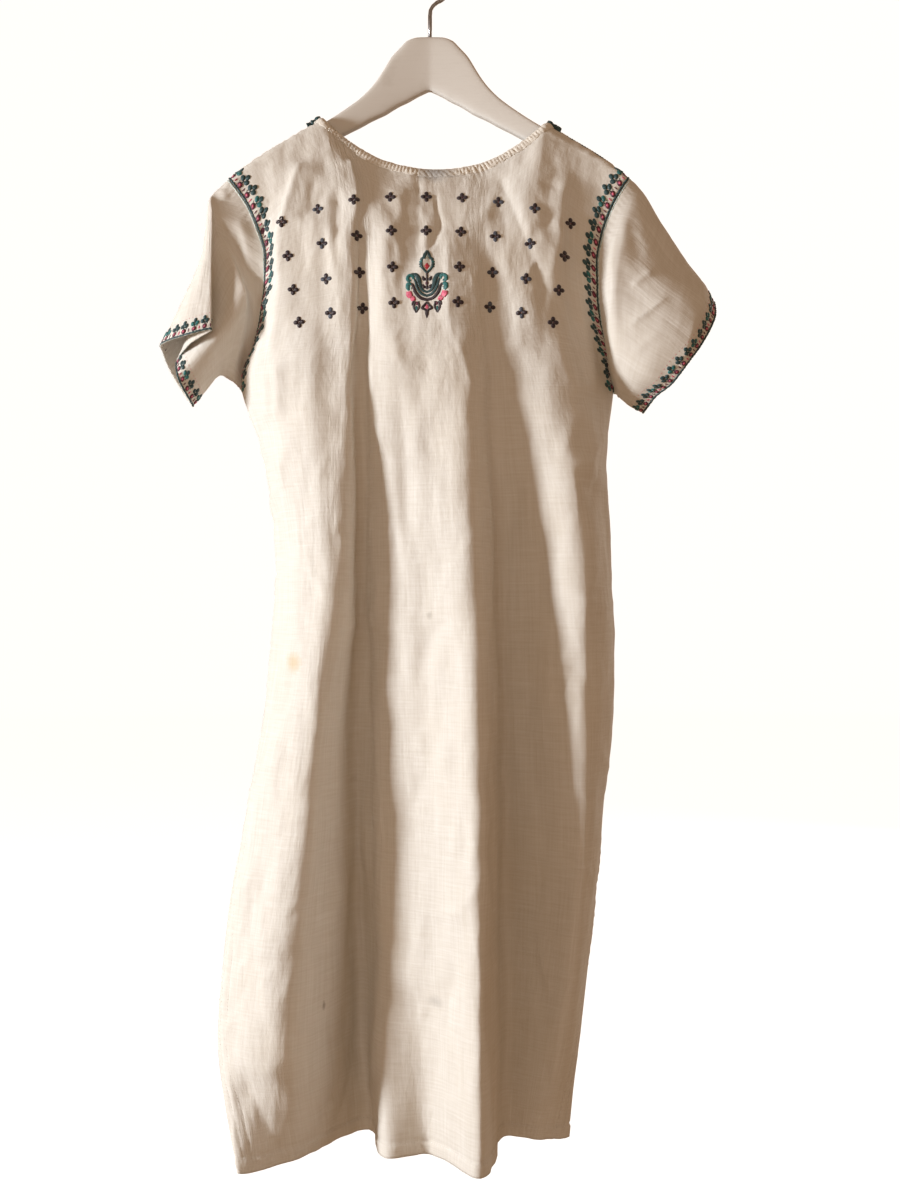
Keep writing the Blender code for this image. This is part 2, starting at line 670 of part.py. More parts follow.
def main():
    """Build the tunic and its hanger."""
    clear_scene()
    parts = bpy.data.collections.new("tunic_on_hanger")
    cutters = bpy.data.collections.new("cutters")
    bpy.context.scene.collection.children.link(parts)
    bpy.context.scene.collection.children.link(cutters)
    cloth = material("cloth")
    strip = material("strip")
    back = Panel(-1, BACK_FOLDS, FRONT_FOLDS, BACK_NECK_FOLDS, BACK_ARMHOLE_AWAY)
    front = Panel(1, FRONT_FOLDS, BACK_FOLDS, FRONT_NECK_FOLDS, FRONT_ARMHOLE_AWAY)
    grids = {}
    for name, panel in (("back", back), ("front", front)):
        heights = panel_heights(13, 13, BACK_TOP_ROWS if panel.side < 0 else FRONT_TOP_ROWS)
        grids[name] = panel.surface(heights, panel_places(panel, 2 if panel.side < 0 else 3))
        cloth_piece(name + "_panel", grids[name], cloth, parts)
    levels = (0.0, 0.1, 0.2, 0.38, 0.58, 0.76, 0.9, 1.0)
    for name, lines, right in (("left_sleeve", LEFT_SLEEVE, False),
                               ("right_sleeve", RIGHT_SLEEVE, True)):
        sleeve = Sleeve(lines, right, back, front)
        shares = np.linspace(0.0, 1.0, 60, endpoint=False)
        cloth_piece(name, sleeve.surface(levels, shares), cloth, parts, around=True)
    for name, panel in (("neck_strip_back", back), ("neck_strip_front", front)):
        grid = neck_strip(panel, grids[name.split("_")[-1]])
        cloth_piece(name, grid, strip, parts, thickness=STRIP_THICKNESS)
    wood = hanger_wood(parts)
    bore = wood.modifiers.new("socket", "BOOLEAN")
    bore.object = socket_cutter(cutters)
    bore.operation = "DIFFERENCE"
    hanger_hook(parts)


main()
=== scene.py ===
"""The looks of an embroidered calf-length cotton tunic on a painted wooden hanger.

Metres, +Z up, the tunic's back faces -Y. Tables are in millimetres: "across" is X,
"away" is Y (negative is nearer to the camera) and "up" is Z. The cloth is read from the
same fold lines as the solids, more finely, and then pressed with its creases, puckers
and crumple. Embroidery and stitches are laid on that cloth.
"""

import bpy
import bmesh
import logging
import math
import numpy as np
from dataclasses import dataclass
from enum import Enum
from mathutils import Matrix, Vector, noise
from mathutils.bvhtree import BVHTree

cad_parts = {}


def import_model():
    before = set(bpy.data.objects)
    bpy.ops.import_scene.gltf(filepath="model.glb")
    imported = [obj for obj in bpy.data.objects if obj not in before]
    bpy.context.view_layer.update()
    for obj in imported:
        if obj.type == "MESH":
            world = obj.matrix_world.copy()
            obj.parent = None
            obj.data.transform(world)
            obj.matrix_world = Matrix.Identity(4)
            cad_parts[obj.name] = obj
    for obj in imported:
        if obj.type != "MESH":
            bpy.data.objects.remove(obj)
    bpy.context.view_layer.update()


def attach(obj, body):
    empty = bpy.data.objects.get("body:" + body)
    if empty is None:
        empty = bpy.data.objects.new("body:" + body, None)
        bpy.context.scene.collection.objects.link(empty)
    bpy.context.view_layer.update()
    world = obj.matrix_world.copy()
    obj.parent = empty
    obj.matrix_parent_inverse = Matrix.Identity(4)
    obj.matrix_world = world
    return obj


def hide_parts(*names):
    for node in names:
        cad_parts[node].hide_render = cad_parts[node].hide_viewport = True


log = logging.getLogger("tunic")

Material = bpy.types.Material
Piece = bpy.types.Object
Points = np.ndarray
Socket = bpy.types.NodeSocket

MM = 0.001
BODY = "root"
SHELL = 0.6


class Side(Enum):
    """Which half of the tunic a panel is, with the sign of its outward Y."""

    BACK = -1
    FRONT = 1


class Hand(Enum):
    """Which sleeve, as the camera sees it, with the sign of its X."""

    LEFT = -1
    RIGHT = 1


# Sizes that the cloth shares with the solids

ARMPIT = -425.0
HEM = -1186.0
NECK_LEFT = -107.0
NECK_RIGHT = 115.0
NECK_DEPTH = {Side.BACK: 51.0, Side.FRONT: 108.0}
NECK_POWER = {Side.BACK: 2.2, Side.FRONT: 2.0}
NECK_BOW = {Side.BACK: 4.0, Side.FRONT: 26.0}
NECK_RISE = 3.0
SHOULDER_LEFT = -197.0
SHOULDER_RIGHT = 196.0
OVER_WOOD = 2.6
TURN_OUT = 8.6
TURN_DOWN = 9.0
TURN_FADE = 0.75
TOP_COLUMN = 230.0
SLOPE_STEP = 10.0
SIDE_BLEND = 0.12
SEAM_TRIM = 0.1
SLEEVE_START = 0.25
ARM_REACH = 201.0
ARM_SWEEP = 30.0
SWEEP_POWER = 1.25
WOOD_HALF = 6.2


@dataclass(frozen=True)
class FoldLine:
    """A line of the hanging cloth, from the armpit's level down to the hem."""

    name: str
    across: tuple
    away: tuple


@dataclass(frozen=True)
class SleeveLine:
    """A line along a sleeve, at three places between the armhole and the cuff."""

    name: str
    share: float
    near_armhole: tuple
    middle: tuple
    cuff: tuple


@dataclass(frozen=True)
class Crease:
    """A creased line pressed into the cloth along a path.

    The path is (across, up) points from its top. The height is outwards, or inwards where
    it is negative. Left and right are how far it reaches to each side as seen from outside
    the back, and fade is the share of the path over which each end dies away.
    """

    name: str
    path: tuple
    height: float
    left: float
    right: float
    fade: tuple = (0.25, 0.35)

    @staticmethod
    def profile(ratio: Points) -> Points:
        """Share of the height at a share of the reach: steepest at the line."""
        return np.exp(-ratio)

    def press(self, across: Points, up: Points) -> Points:
        """Give the crease's height over points of the plan.

        Args:
            across: X of the points, in millimetres.
            up: Z of the points.

        Returns:
            How far each point moves outwards.
        """
        path = np.asarray(self.path, float)
        steps = np.diff(path, axis=0)
        lengths = np.linalg.norm(steps, axis=1)
        before = np.concatenate(([0.0], np.cumsum(lengths)))
        nearest = np.full(across.shape, np.inf)
        signed = np.zeros(across.shape)
        place = np.zeros(across.shape)
        for start, step, length, passed in zip(path, steps, lengths, before):
            share = ((across - start[0]) * step[0] + (up - start[1]) * step[1]) / length**2
            share = np.clip(share, 0.0, 1.0)
            off_x = across - start[0] - share * step[0]
            off_z = up - start[1] - share * step[1]
            distance = np.hypot(off_x, off_z)
            side = np.where(step[0] * off_z - step[1] * off_x < 0.0, -1.0, 1.0)
            closer = distance < nearest
            nearest = np.where(closer, distance, nearest)
            signed = np.where(closer, side * distance, signed)
            place = np.where(closer, (passed + share * length) / before[-1], place)
        shape = self.profile(nearest / np.where(signed < 0.0, self.left, self.right))
        first, last = self.fade
        return self.height * shape * ease(place / first) * ease((1.0 - place) / last)


class Roll(Crease):
    """A soft swell or hollow, rounded across its path."""

    @staticmethod
    def profile(ratio: Points) -> Points:
        """Share of the height at a share of the reach: a rounded bell."""
        return np.exp(-ratio**2)


SEAM_LEVELS = (-425, -500, -590, -700, -830, -960, -1070, -1130, -1186)
FOLD_LEVELS = (-425, -590, -830, -1070, -1186)

LEFT_SEAM = FoldLine("left seam",
                     (-189, -165, -153, -161, -179, -202, -209, -199, -184),
                     (20, 20, 15, 10, 0, -10, -20, -40, -64))
RIGHT_SEAM = FoldLine("right seam",
                      (185, 177, 181, 186, 176, 165, 154, 147, 142),
                      (20, 20, 20, 20, 20, 30, 40, 45, 50))
LEFT_SLIT = FoldLine("left slit", (0, 0, 0, 0, 0, 0, 0, 4, 0), (0, 0, 0, 0, 0, 0, 0, 30, 78))
RIGHT_SLIT = FoldLine("right slit", (0, 0, 0, 0, 0, 0, 0, -1, -3), (0, 0, 0, 0, 0, 0, 0, 5, 12))

BACK_FOLDS = (
    FoldLine("left swell", (-152, -126, -153, -180, -162), (-30, -38, -43, -46, -58)),
    FoldLine("left slope", (-97, -98, -116, -138, -129), (-45, -52, -62, -60, -20)),
    FoldLine("left edge", (-77, -80, -92, -93, -91), (-50, -46, -20, 22, 48)),
    FoldLine("left valley", (-70, -72, -76, -71, -64), (-42, -15, 30, 65, 75)),
    FoldLine("centre left", (-62, -58, -56, -49, -43), (-46, -28, -14, -10, -18)),
    FoldLine("centre dip", (-9, -9, -5, -2, -2), (-55, -48, -40, -24, -5)),
    FoldLine("centre crest", (35, 43, 48, 49, 49), (-60, -70, -80, -85, -78)),
    FoldLine("crest edge", (50, 60, 64, 64, 62), (-53, -50, -38, -32, -40)),
    FoldLine("right valley", (62, 70, 75, 78, 77), (-40, -10, 20, 45, 50)),
    FoldLine("right plane", (122, 146, 152, 134, 112), (-46, -50, -44, 2, 40)),
)
FRONT_FOLDS = (
    FoldLine("front left swell", (-150, -122, -150, -178, -166), (34, 34, 36, 36, 44)),
    FoldLine("front left dip", (-100, -92, -104, -116, -112), (40, 40, 46, 66, 78)),
    FoldLine("front left crest", (-52, -52, -56, -62, -60), (46, 56, 78, 106, 118)),
    FoldLine("front dip", (0, 0, -2, -2, -2), (40, 44, 56, 78, 88)),
    FoldLine("front crest", (48, 48, 46, 44, 42), (48, 60, 84, 108, 118)),
    FoldLine("front right dip", (102, 102, 100, 94, 90), (42, 46, 54, 76, 86)),
    FoldLine("front right swell", (150, 150, 148, 132, 122), (38, 48, 58, 80, 90)),
)
NECK_FOLDS = {Side.BACK: (2, 10), Side.FRONT: (2, 6)}

ARMHOLE_LEFT = ((-189, -425), (-188, -410), (-174, -381), (-166, -352), (-161, -318),
                (-161, -298), (-168, -272), (-177, -250), (-188, -233), (-197, -221))
ARMHOLE_RIGHT = ((185, -425), (184, -408), (176, -385), (169, -362), (165, -335),
                 (164, -305), (168, -280), (176, -256), (186, -236), (196, -221))
ARMHOLE_AWAY = {
    Side.BACK: (20, 10, -10, -22, -29, -31, -31, -30.5, -29.5, -28.5),
    Side.FRONT: (20, 25, 28, 26, 20, 10, -6, -19, -26, -28.5),
}

LEFT_SLEEVE = (
    SleeveLine("top fold", 0.00, (-209, -30, -234), (-224, -35, -298), (-262, -37, -384)),
    SleeveLine("flap", 0.08, (-212, -42, -242), (-219, -51, -299), (-237, -53, -378)),
    SleeveLine("pleat edge", 0.17, (-211, -48, -254), (-211, -54, -306), (-211, -57, -373)),
    SleeveLine("tuck", 0.25, (-206, -43, -276), (-218, -43, -322), (-234, -45, -385)),
    SleeveLine("inner fold", 0.34, (-196, -41, -296), (-219, -32, -341), (-249, -26, -399)),
    SleeveLine("face", 0.45, (-180, -43, -340), (-203, -44, -372), (-247, -36, -416)),
    SleeveLine("underarm", 0.56, (-199, 8, -414), (-209, 0, -410), (-237, -8, -441)),
    SleeveLine("front low", 0.68, (-184, 34, -372), (-214, 22, -388), (-250, 8, -424)),
    SleeveLine("front face", 0.80, (-180, 30, -315), (-214, 24, -345), (-262, 4, -402)),
    SleeveLine("front high", 0.91, (-203, 0, -252), (-221, -6, -308), (-265, -14, -388)),
)
RIGHT_SLEEVE = (
    SleeveLine("top fold", 0.00, (206, -30, -230), (240, -24, -281), (282, -12, -340)),
    SleeveLine("back high", 0.12, (193, -50, -268), (231, -44, -312), (280, -32, -357)),
    SleeveLine("back face", 0.27, (182, -52, -330), (221, -52, -356), (262, -45, -389)),
    SleeveLine("back low", 0.40, (187, -38, -392), (211, -42, -408), (238, -36, -414)),
    SleeveLine("underarm", 0.50, (193, 14, -430), (200, 8, -438), (214, 0, -447)),
    SleeveLine("front low", 0.62, (191, 38, -388), (215, 34, -408), (238, 24, -416)),
    SleeveLine("front face", 0.75, (184, 34, -320), (224, 34, -352), (264, 24, -387)),
    SleeveLine("front high", 0.89, (200, 2, -252), (237, 6, -302), (284, 4, -352)),
)
SLEEVE_LEVELS = (0.18, 0.58, 1.0)

# Edges of the hanger's wood, outwards from the middle: across, top, bottom
WOOD_EDGES = (
    (0, -72, -125), (12, -72.6, -131), (22, -76, -137), (30, -84, -141), (38, -93, -146),
    (44, -103, -150), (50, -113, -153), (58, -124, -157), (68, -134.5, -163), (81, -145, -170),
    (107, -163, -186), (136, -180, -204), (168, -200, -224), (190, -217.5, -239), (201, -228, -246),
)

# Creases of the visible back, from the neck down
BACK_CREASES = (
    Roll("left upper swell", ((-116, -300), (-122, -425), (-128, -590), (-146, -720)),
         4.0, 26, 20, (0.25, 0.3)),
    Roll("recess beside the left fold",
         ((-66, -250), (-62, -425), (-58, -590), (-56, -760), (-54, -950), (-46, -1130)),
         -3.0, 10, 24, (0.12, 0.15)),
    Roll("left fold's turn", ((-126, -330), (-112, -425), (-100, -520), (-92, -634), (-100, -731)),
         6.5, 18, 26, (0.2, 0.3)),
    Crease("groove behind the left fold",
           ((-69, -236), (-68, -425), (-69, -590), (-68, -760), (-66, -960), (-62, -1120)),
           -9.0, 3.5, 12, (0.12, 0.15)),
    Roll("centre swell", ((24, -330), (32, -480), (38, -640), (42, -800), (44, -1000)),
         3.0, 26, 14, (0.2, 0.3)),
    Roll("right side swell", ((126, -330), (144, -440), (152, -560), (154, -680), (150, -820)),
         4.0, 26, 18, (0.2, 0.35)),
    Crease("pull from the neck to the right", ((64, -210), (88, -272), (112, -335), (105, -366)),
           -6.0, 11, 9, (0.12, 0.2)),
    Roll("shade beside the pull", ((70, -214), (94, -276), (118, -330)), 3.6, 12, 16),
    Crease("left shoulder ridge",
           ((-123, -199), (-136, -240), (-145, -282), (-143, -330), (-147, -366), (-156, -396)),
           7.5, 6, 22, (0.1, 0.25)),
    Roll("hollow beside the left armhole",
         ((-170, -250), (-158, -285), (-154, -318), (-159, -352), (-168, -385)), -3.5, 9, 8, (0.2, 0.2)),
    Roll("hollow beside the right armhole",
         ((156, -320), (159, -352), (167, -385), (174, -408), (178, -430)), -3.0, 8, 9, (0.2, 0.12)),
    Crease("pleat under the binding", ((-80, -200), (-72, -231), (-71, -268)), 4.6, 7, 5, (0.1, 0.3)),
    Crease("fold below the pleat", ((-74, -262), (-73, -330), (-76, -430)), 2.4, 12, 5),
    Roll("left lit roll", ((-84, -262), (-84, -330), (-88, -420)), 3.6, 14, 8),
    Crease("centre dark pinch", ((5, -232), (9, -262), (13, -285)), -3.6, 4, 4),
    Crease("centre bright line", ((17, -268), (18, -356), (25, -404)), 3.0, 5, 9),
    Crease("small pinch at the neck", ((-19, -222), (-5, -238)), -1.0, 4, 4),
    Roll("centre left roll", ((-46, -232), (-44, -300), (-40, -440)), 4.6, 9, 13),
    Roll("centre left hollow", ((-30, -420), (-24, -520), (-20, -600)), -3.4, 7, 9),
    Roll("valley beside the motif", ((39, -270), (52, -288), (69, -332), (82, -390)), -3.6, 16, 13),
    Crease("shoulder tick", ((103, -227), (118, -231), (130, -238)), -1.6, 4, 5),
    Crease("right shoulder ridge", ((138, -212), (129, -236), (118, -312), (112, -384)),
           5.0, 9, 14, (0.15, 0.3)),
    Roll("right armhole roll", ((156, -268), (143, -330), (146, -392)), -2.4, 12, 12),
    Crease("left neck crease", ((-128, -264), (-105, -252)), -3.0, 4, 5),
    Roll("left chest roll", ((-140, -320), (-146, -372), (-150, -425)), 1.8, 14, 14),
    Crease("long pull to the right valley", ((103, -436), (98, -474), (80, -562), (61, -658)), -2.6, 14, 7),
    Roll("right side roll", ((150, -450), (142, -560), (150, -680)), 1.6, 24, 24),
    Crease("armpit pull left", ((-160, -400), (-158, -440), (-160, -466)), 4.2, 5, 7),
    Crease("armpit pull left, inner", ((-148, -396), (-146, -440), (-149, -462)), 3.4, 4, 6),
    Crease("armpit pull left, lower", ((-150, -474), (-140, -520), (-138, -548)), 3.0, 6, 5),
    Crease("armpit pull right", ((176, -424), (150, -436), (132, -452)), -3.0, 6, 6),
    Crease("armpit pull right, lower", ((178, -462), (158, -486), (146, -520)), 3.0, 6, 6),
    Crease("armpit tick right", ((170, -480), (160, -520), (152, -560)), -2.4, 5, 5),
    Crease("waist crease right", ((164, -590), (150, -628), (146, -660)), 2.2, 6, 6),
    Crease("ironed line right", ((78, -693), (102, -692), (118, -697), (160, -704)), -1.6, 3, 3),
    Crease("ironed line right, lower", ((66, -764), (108, -769), (151, -774)), 1.7, 3, 3.5),
    Crease("ironed box, right side", ((147, -706), (146, -773)), 1.6, 4, 3),
    Crease("ironed box, left side", ((130, -704), (131, -770)), -1.4, 4, 3),
    Crease("hooked crease", ((112, -771), (132, -797), (129, -828)), 2.0, 4, 4),
    Crease("ironed line left", ((-156, -711), (-105, -713)), 1.6, 3, 3),
    Crease("ironed line low left", ((-195, -986), (-150, -984), (-118, -978)), -1.8, 3, 3),
    Crease("ironed line low centre", ((20, -931), (44, -945)), 1.6, 3, 3),
    Roll("crest pinch", ((40, -640), (45, -700), (44, -790)), 1.4, 10, 8),
    Roll("centre plane hollow", ((8, -560), (6, -680), (10, -820)), -1.8, 20, 20),
    Roll("centre plane swell, low", ((-12, -860), (-8, -960), (2, -1090)), 2.2, 16, 18),
    Roll("left plane hollow", ((-126, -560), (-132, -680), (-150, -820)), -2.0, 18, 18),
    Roll("left plane swell", ((-160, -760), (-172, -880), (-176, -980)), 1.6, 14, 16),
    Roll("right plane hollow", ((132, -820), (126, -940), (122, -1080)), -1.6, 14, 14),
    Crease("slit fold, upper", ((-205, -1050), (-172, -1080), (-138, -1104)), 3.6, 9, 14, (0.1, 0.4)),
    Roll("hollow below the slit fold", ((-176, -1084), (-168, -1124), (-160, -1196)),
         -5.0, 22, 34, (0.3, 0.02)),
    Crease("slit fold, lower", ((-188, -1088), (-162, -1136), (-137, -1180)), -2.4, 8, 8, (0.3, 0.1)),
    Crease("slit turn", ((-194, -1084), (-191, -1140), (-187, -1184)), 2.0, 3, 5, (0.3, 0.02)),
)
FRONT_CREASES = (
    Crease("front pull left", ((-60, -270), (-84, -330), (-104, -400)), -2.6, 10, 9),
    Crease("front pull right", ((72, -262), (92, -320), (112, -396)), -2.2, 10, 9),
    Crease("front shoulder ridge", ((-128, -206), (-142, -250), (-150, -300)), 2.4, 12, 16),
    Crease("front right ridge", ((140, -214), (134, -260), (140, -330)), 2.2, 12, 14),
    Crease("front neck pinch", ((-14, -288), (-10, -330), (-12, -370)), -1.8, 5, 5),
    Crease("front neck pinch, right", ((24, -284), (22, -322), (28, -360)), 1.6, 6, 6),
    Roll("front armpit pull", ((-172, -436), (-146, -470), (-126, -486)), 1.6, 7, 7),
    Roll("front armpit pull, right", ((174, -430), (150, -458), (134, -488)), -1.6, 7, 7),
    Roll("front long roll", ((-24, -470), (-30, -640), (-26, -840)), 2.0, 16, 14),
    Roll("front long hollow", ((72, -500), (74, -660), (70, -860)), -2.2, 14, 16),
    Crease("front ironed line", ((-150, -698), (-96, -704), (-58, -700)), 0.9, 3, 3),
    Crease("front ironed line, right", ((60, -742), (112, -738), (158, -746)), -0.9, 3, 3),
    Roll("front side hollow", ((-130, -600), (-138, -740), (-150, -900)), -1.8, 16, 18),
    Roll("front low swell", ((8, -900), (0, -1000), (-4, -1120)), 2.0, 16, 16),
    Crease("front low crease", ((104, -930), (128, -952)), 0.9, 4, 4),
    Crease("front slit fold", ((-200, -1066), (-168, -1100), (-140, -1140)), 1.8, 9, 12),
)
LEFT_SLEEVE_CREASES = (
    Roll("cap puff", ((-203, -231), (-198, -246)), 1.6, 5, 5),
    Roll("soft pull", ((-186, -256), (-180, -285), (-174, -316)), 1.7, 6, 7),
    Roll("soft pull, lower", ((-192, -276), (-182, -304), (-170, -334)), -1.6, 6, 6),
    Roll("face pull", ((-178, -316), (-186, -350), (-196, -384)), 1.5, 7, 8),
    Roll("underarm pull", ((-190, -372), (-202, -388), (-216, -398)), -1.2, 5, 5),
)
RIGHT_SLEEVE_CREASES = (
    Crease("crest beside the armhole",
           ((183, -268), (179, -303), (179, -366), (185, -402), (193, -428), (201, -444)),
           2.8, 5, 14, (0.2, 0.1)),
    Crease("raised crease", ((190, -371), (210, -357), (232, -340)), 2.6, 3.5, 4.5, (0.3, 0.4)),
    Crease("raised crease, upper", ((194, -332), (208, -321), (222, -312)), 2.0, 3.5, 5, (0.3, 0.4)),
    Roll("faint crease", ((198, -394), (214, -381), (226, -372)), 0.7, 4, 4),
    Roll("shoulder hollow", ((196, -256), (200, -290), (208, -318)), -2.0, 8, 10),
    Roll("outer roll", ((216, -262), (240, -300), (262, -338)), 1.2, 10, 10),
    Roll("outer swell", ((266, -306), (256, -350), (244, -396), (232, -440)), 12.5, 52, 13, (0.3, 0.2)),
)


@dataclass(frozen=True)
class FineCreases:
    """A seeded lot of small wrinkles of one kind.

    Each has its own place, length, height and reach within the given ranges. The lean is
    the mean and spread of its angle in degrees, troughs and rolls are shares of the lot,
    and bow is how far a wrinkle bends for its length.
    """

    name: str
    seed: int
    count: int
    across: tuple
    up: tuple
    lean: tuple
    length: tuple
    height: tuple
    reach: tuple
    troughs: float = 0.45
    rolls: float = 0.4
    bow: float = 0.09
    lopsided: tuple = (0.5, 1.5)
    fade: tuple = (0.4, 0.4)

    def spread(self) -> tuple:
        """Make the wrinkles as creases, the same ones each time."""
        pick = np.random.default_rng(self.seed)
        made = []
        for number in range(self.count):
            x, z = pick.uniform(*sorted(self.across)), pick.uniform(*sorted(self.up))
            lean = math.radians(pick.normal(*self.lean))
            length = pick.uniform(*self.length)
            bow = pick.normal(0.0, self.bow) * length
            step = np.array([math.cos(lean), math.sin(lean)]) * length / 2
            side = np.array([-step[1], step[0]]) / length * 2 * bow
            middle = np.array([x, z])
            path = tuple(tuple(point) for point in (middle + step, middle + side, middle - step))
            sign = 1.0 if pick.uniform() > self.troughs else -1.0
            wide = pick.uniform(*self.reach)
            height = sign * pick.uniform(*self.height)
            other = wide * pick.uniform(*self.lopsided)
            kind = Crease if pick.uniform() > self.rolls else Roll
            made.append(kind(f"{self.name} {number}", path, height, wide, other, self.fade))
        return tuple(made)


BACK_WRINKLES = (
    FineCreases("neck gather", 11, 26, (-118, 122), (-225, -300), (88, 9), (30, 95), (0.9, 2.4), (3, 7)),
    FineCreases("chest crumple", 12, 34, (-168, 168), (-235, -470), (78, 32), (24, 75), (0.8, 2.2),
                (2.5, 7)),
    FineCreases("body crumple", 13, 96, (-190, 168), (-450, -1150), (84, 24), (28, 120), (0.7, 2.1),
                (3, 8)),
    FineCreases("side pull, left", 14, 22, (-186, -120), (-500, -1040), (62, 24), (18, 60), (0.8, 2.0),
                (2.5, 6)),
    FineCreases("side pull, right", 15, 20, (112, 176), (-440, -900), (112, 28), (18, 70), (0.8, 2.0),
                (2.5, 6)),
)
FRONT_WRINKLES = (
    FineCreases("front neck gather", 21, 22, (-118, 122), (-280, -350), (90, 12), (30, 80), (0.5, 1.3),
                (3, 7)),
    FineCreases("front crumple", 22, 90, (-180, 165), (-300, -1120), (84, 26), (28, 110), (0.4, 1.2),
                (3, 8)),
    FineCreases("front pressed line", 23, 8, (-150, 150), (-500, -1080), (2, 9), (30, 80), (0.5, 0.9),
                (2.5, 4)),
)


@dataclass(frozen=True)
class Lumps:
    """Uneven soft lumps of the cloth: their height, width, own seed and how tall they are."""

    height: float
    size: float
    seed: float = 0.0
    stretch: float = 1.0

    def press(self, grid: Points, seed: float) -> Points:
        """Give the lumps' heights over a piece's points, for the piece's seed."""
        return self.height * crumple(grid, self.size, seed + self.seed, self.stretch)


@dataclass(frozen=True)
class Pucker:
    """Small waves along a seam or hem: their height, length, lane beside it and drift."""

    height: float
    pitch: float
    lane: float
    reach: float
    drift: float = 1.0

    def press(self, run: Points, off: Points, drift: Points) -> Points:
        """Give the waves' heights.

        Args:
            run: Length along the seam of each point.
            off: Its distance from the seam.
            drift: Uneven values that make the waves wander.

        Returns:
            How far each point moves outwards.
        """
        wave = np.sin(2 * math.pi * (run / self.pitch + drift * self.drift))
        return self.height * wave * bell(off, self.lane, self.reach)


@dataclass(frozen=True)
class SewnEdges:
    """How a panel's seams hold the cloth, and its turned hem and slits."""

    neck_blend: float = 0.3
    side_hold: float = 5.0
    top_free: float = 2.0
    top_hold: float = 9.0
    neck_slack: float = 0.5
    drift: Lumps = Lumps(1.0, 30.0, 31.0)
    hem: float = 14.0
    hem_thick: float = 0.9
    hem_slope: float = 1.5
    hem_groove: float = 0.8
    hem_groove_wide: float = 1.6
    hem_groove_up: float = 14.5
    tuck: float = 0.8
    tuck_pitch: float = 4.7
    tuck_long: float = 16.0
    slit_rows: tuple = (9.0, 18.0)
    slit_groove: float = 0.7
    slit_groove_wide: float = 1.3
    slit_top: float = -760.0
    slit_blend: float = 120.0
    slit_pucker_top: float = -740.0
    slit_pucker_blend: float = 160.0
    armhole_blend: float = 30.0


SEWN = SewnEdges()
PANEL_LUMPS = (Lumps(2.3, 44.0, 0.0, 2.6), Lumps(1.7, 17.0, 7.0, 2.8), Lumps(0.45, 7.0, 19.0, 2.0))
SLEEVE_LUMPS = (Lumps(1.0, 30.0, 0.0, 1.6), Lumps(0.4, 11.0, 3.0))
SLEEVE_DRIFT = Lumps(1.0, 26.0, 11.0)
HEM_PUCKER = Pucker(0.8, 8.5, 8.0, 6.0, 1.2)
NECK_GATHER = Pucker(0.55, 5.6, 10.0, 9.0, 1.4)
ARMHOLE_PULL = Pucker(0.4, 6.4, 4.0, 6.0)
SLIT_PUCKER = Pucker(0.4, 11.0, 13.0, 6.0, 1.6)
SLEEVE_SEAM_PUCKER = Pucker(0.45, 6.2, 6.0, 5.0)
CUFF_PUCKER = Pucker(0.35, 6.2, 5.0, 6.0)


# Curves

def ease(share: Points) -> Points:
    """Rise smoothly from 0 to 1 as share does."""
    share = np.clip(share, 0.0, 1.0)
    return share * share * (3.0 - 2.0 * share)


def bell(off: Points, middle: float, reach: float) -> Points:
    """Rise to 1 at the middle and die away beyond the reach."""
    return np.exp(-((off - middle) / reach) ** 2)


def hermite(t: Points, start: Points, lead: Points, end: Points,
            trail: Points) -> Points:
    """Blend from start to end as t goes from 0 to 1, with the slopes lead and trail."""
    return ((2 * t**3 - 3 * t**2 + 1) * start + (t**3 - 2 * t**2 + t) * lead
            + (3 * t**2 - 2 * t**3) * end + (t**3 - t**2) * trail)


def through(knots: tuple, values: tuple, where: float) -> Points:
    """Read a smooth curve through values at rising knots, without overshoot.

    Args:
        knots: Places of the values, rising or falling.
        values: One number or one row of numbers a knot.
        where: The places to read.

    Returns:
        One row for each place.
    """
    knots = np.asarray(knots, float)
    values = np.asarray(values, float)
    if knots[0] > knots[-1]:
        knots, values = knots[::-1], values[::-1]
    flat = values.reshape(len(knots), -1)
    steps = np.diff(knots)[:, None]
    slopes = np.diff(flat, axis=0) / steps
    tangents = np.zeros_like(flat)
    tangents[0], tangents[-1] = slopes[0], slopes[-1]
    before, after = slopes[:-1], slopes[1:]
    same = before * after > 0.0
    weight_a = 2.0 * steps[1:] + steps[:-1]
    weight_b = steps[1:] + 2.0 * steps[:-1]
    safe_before = np.where(same, before, 1.0)
    safe_after = np.where(same, after, 1.0)
    mean = (weight_a + weight_b) / (weight_a / safe_before + weight_b / safe_after)
    tangents[1:-1] = np.where(same, mean, 0.0)
    where = np.clip(np.atleast_1d(np.asarray(where, float)), knots[0], knots[-1])
    span = np.clip(np.searchsorted(knots, where, side="right") - 1, 0, len(knots) - 2)
    width = steps[span]
    t = ((where - knots[span]) / steps[span, 0])[:, None]
    result = hermite(t, flat[span], width * tangents[span], flat[span + 1], width * tangents[span + 1])
    return result.reshape((len(where),) + values.shape[1:])


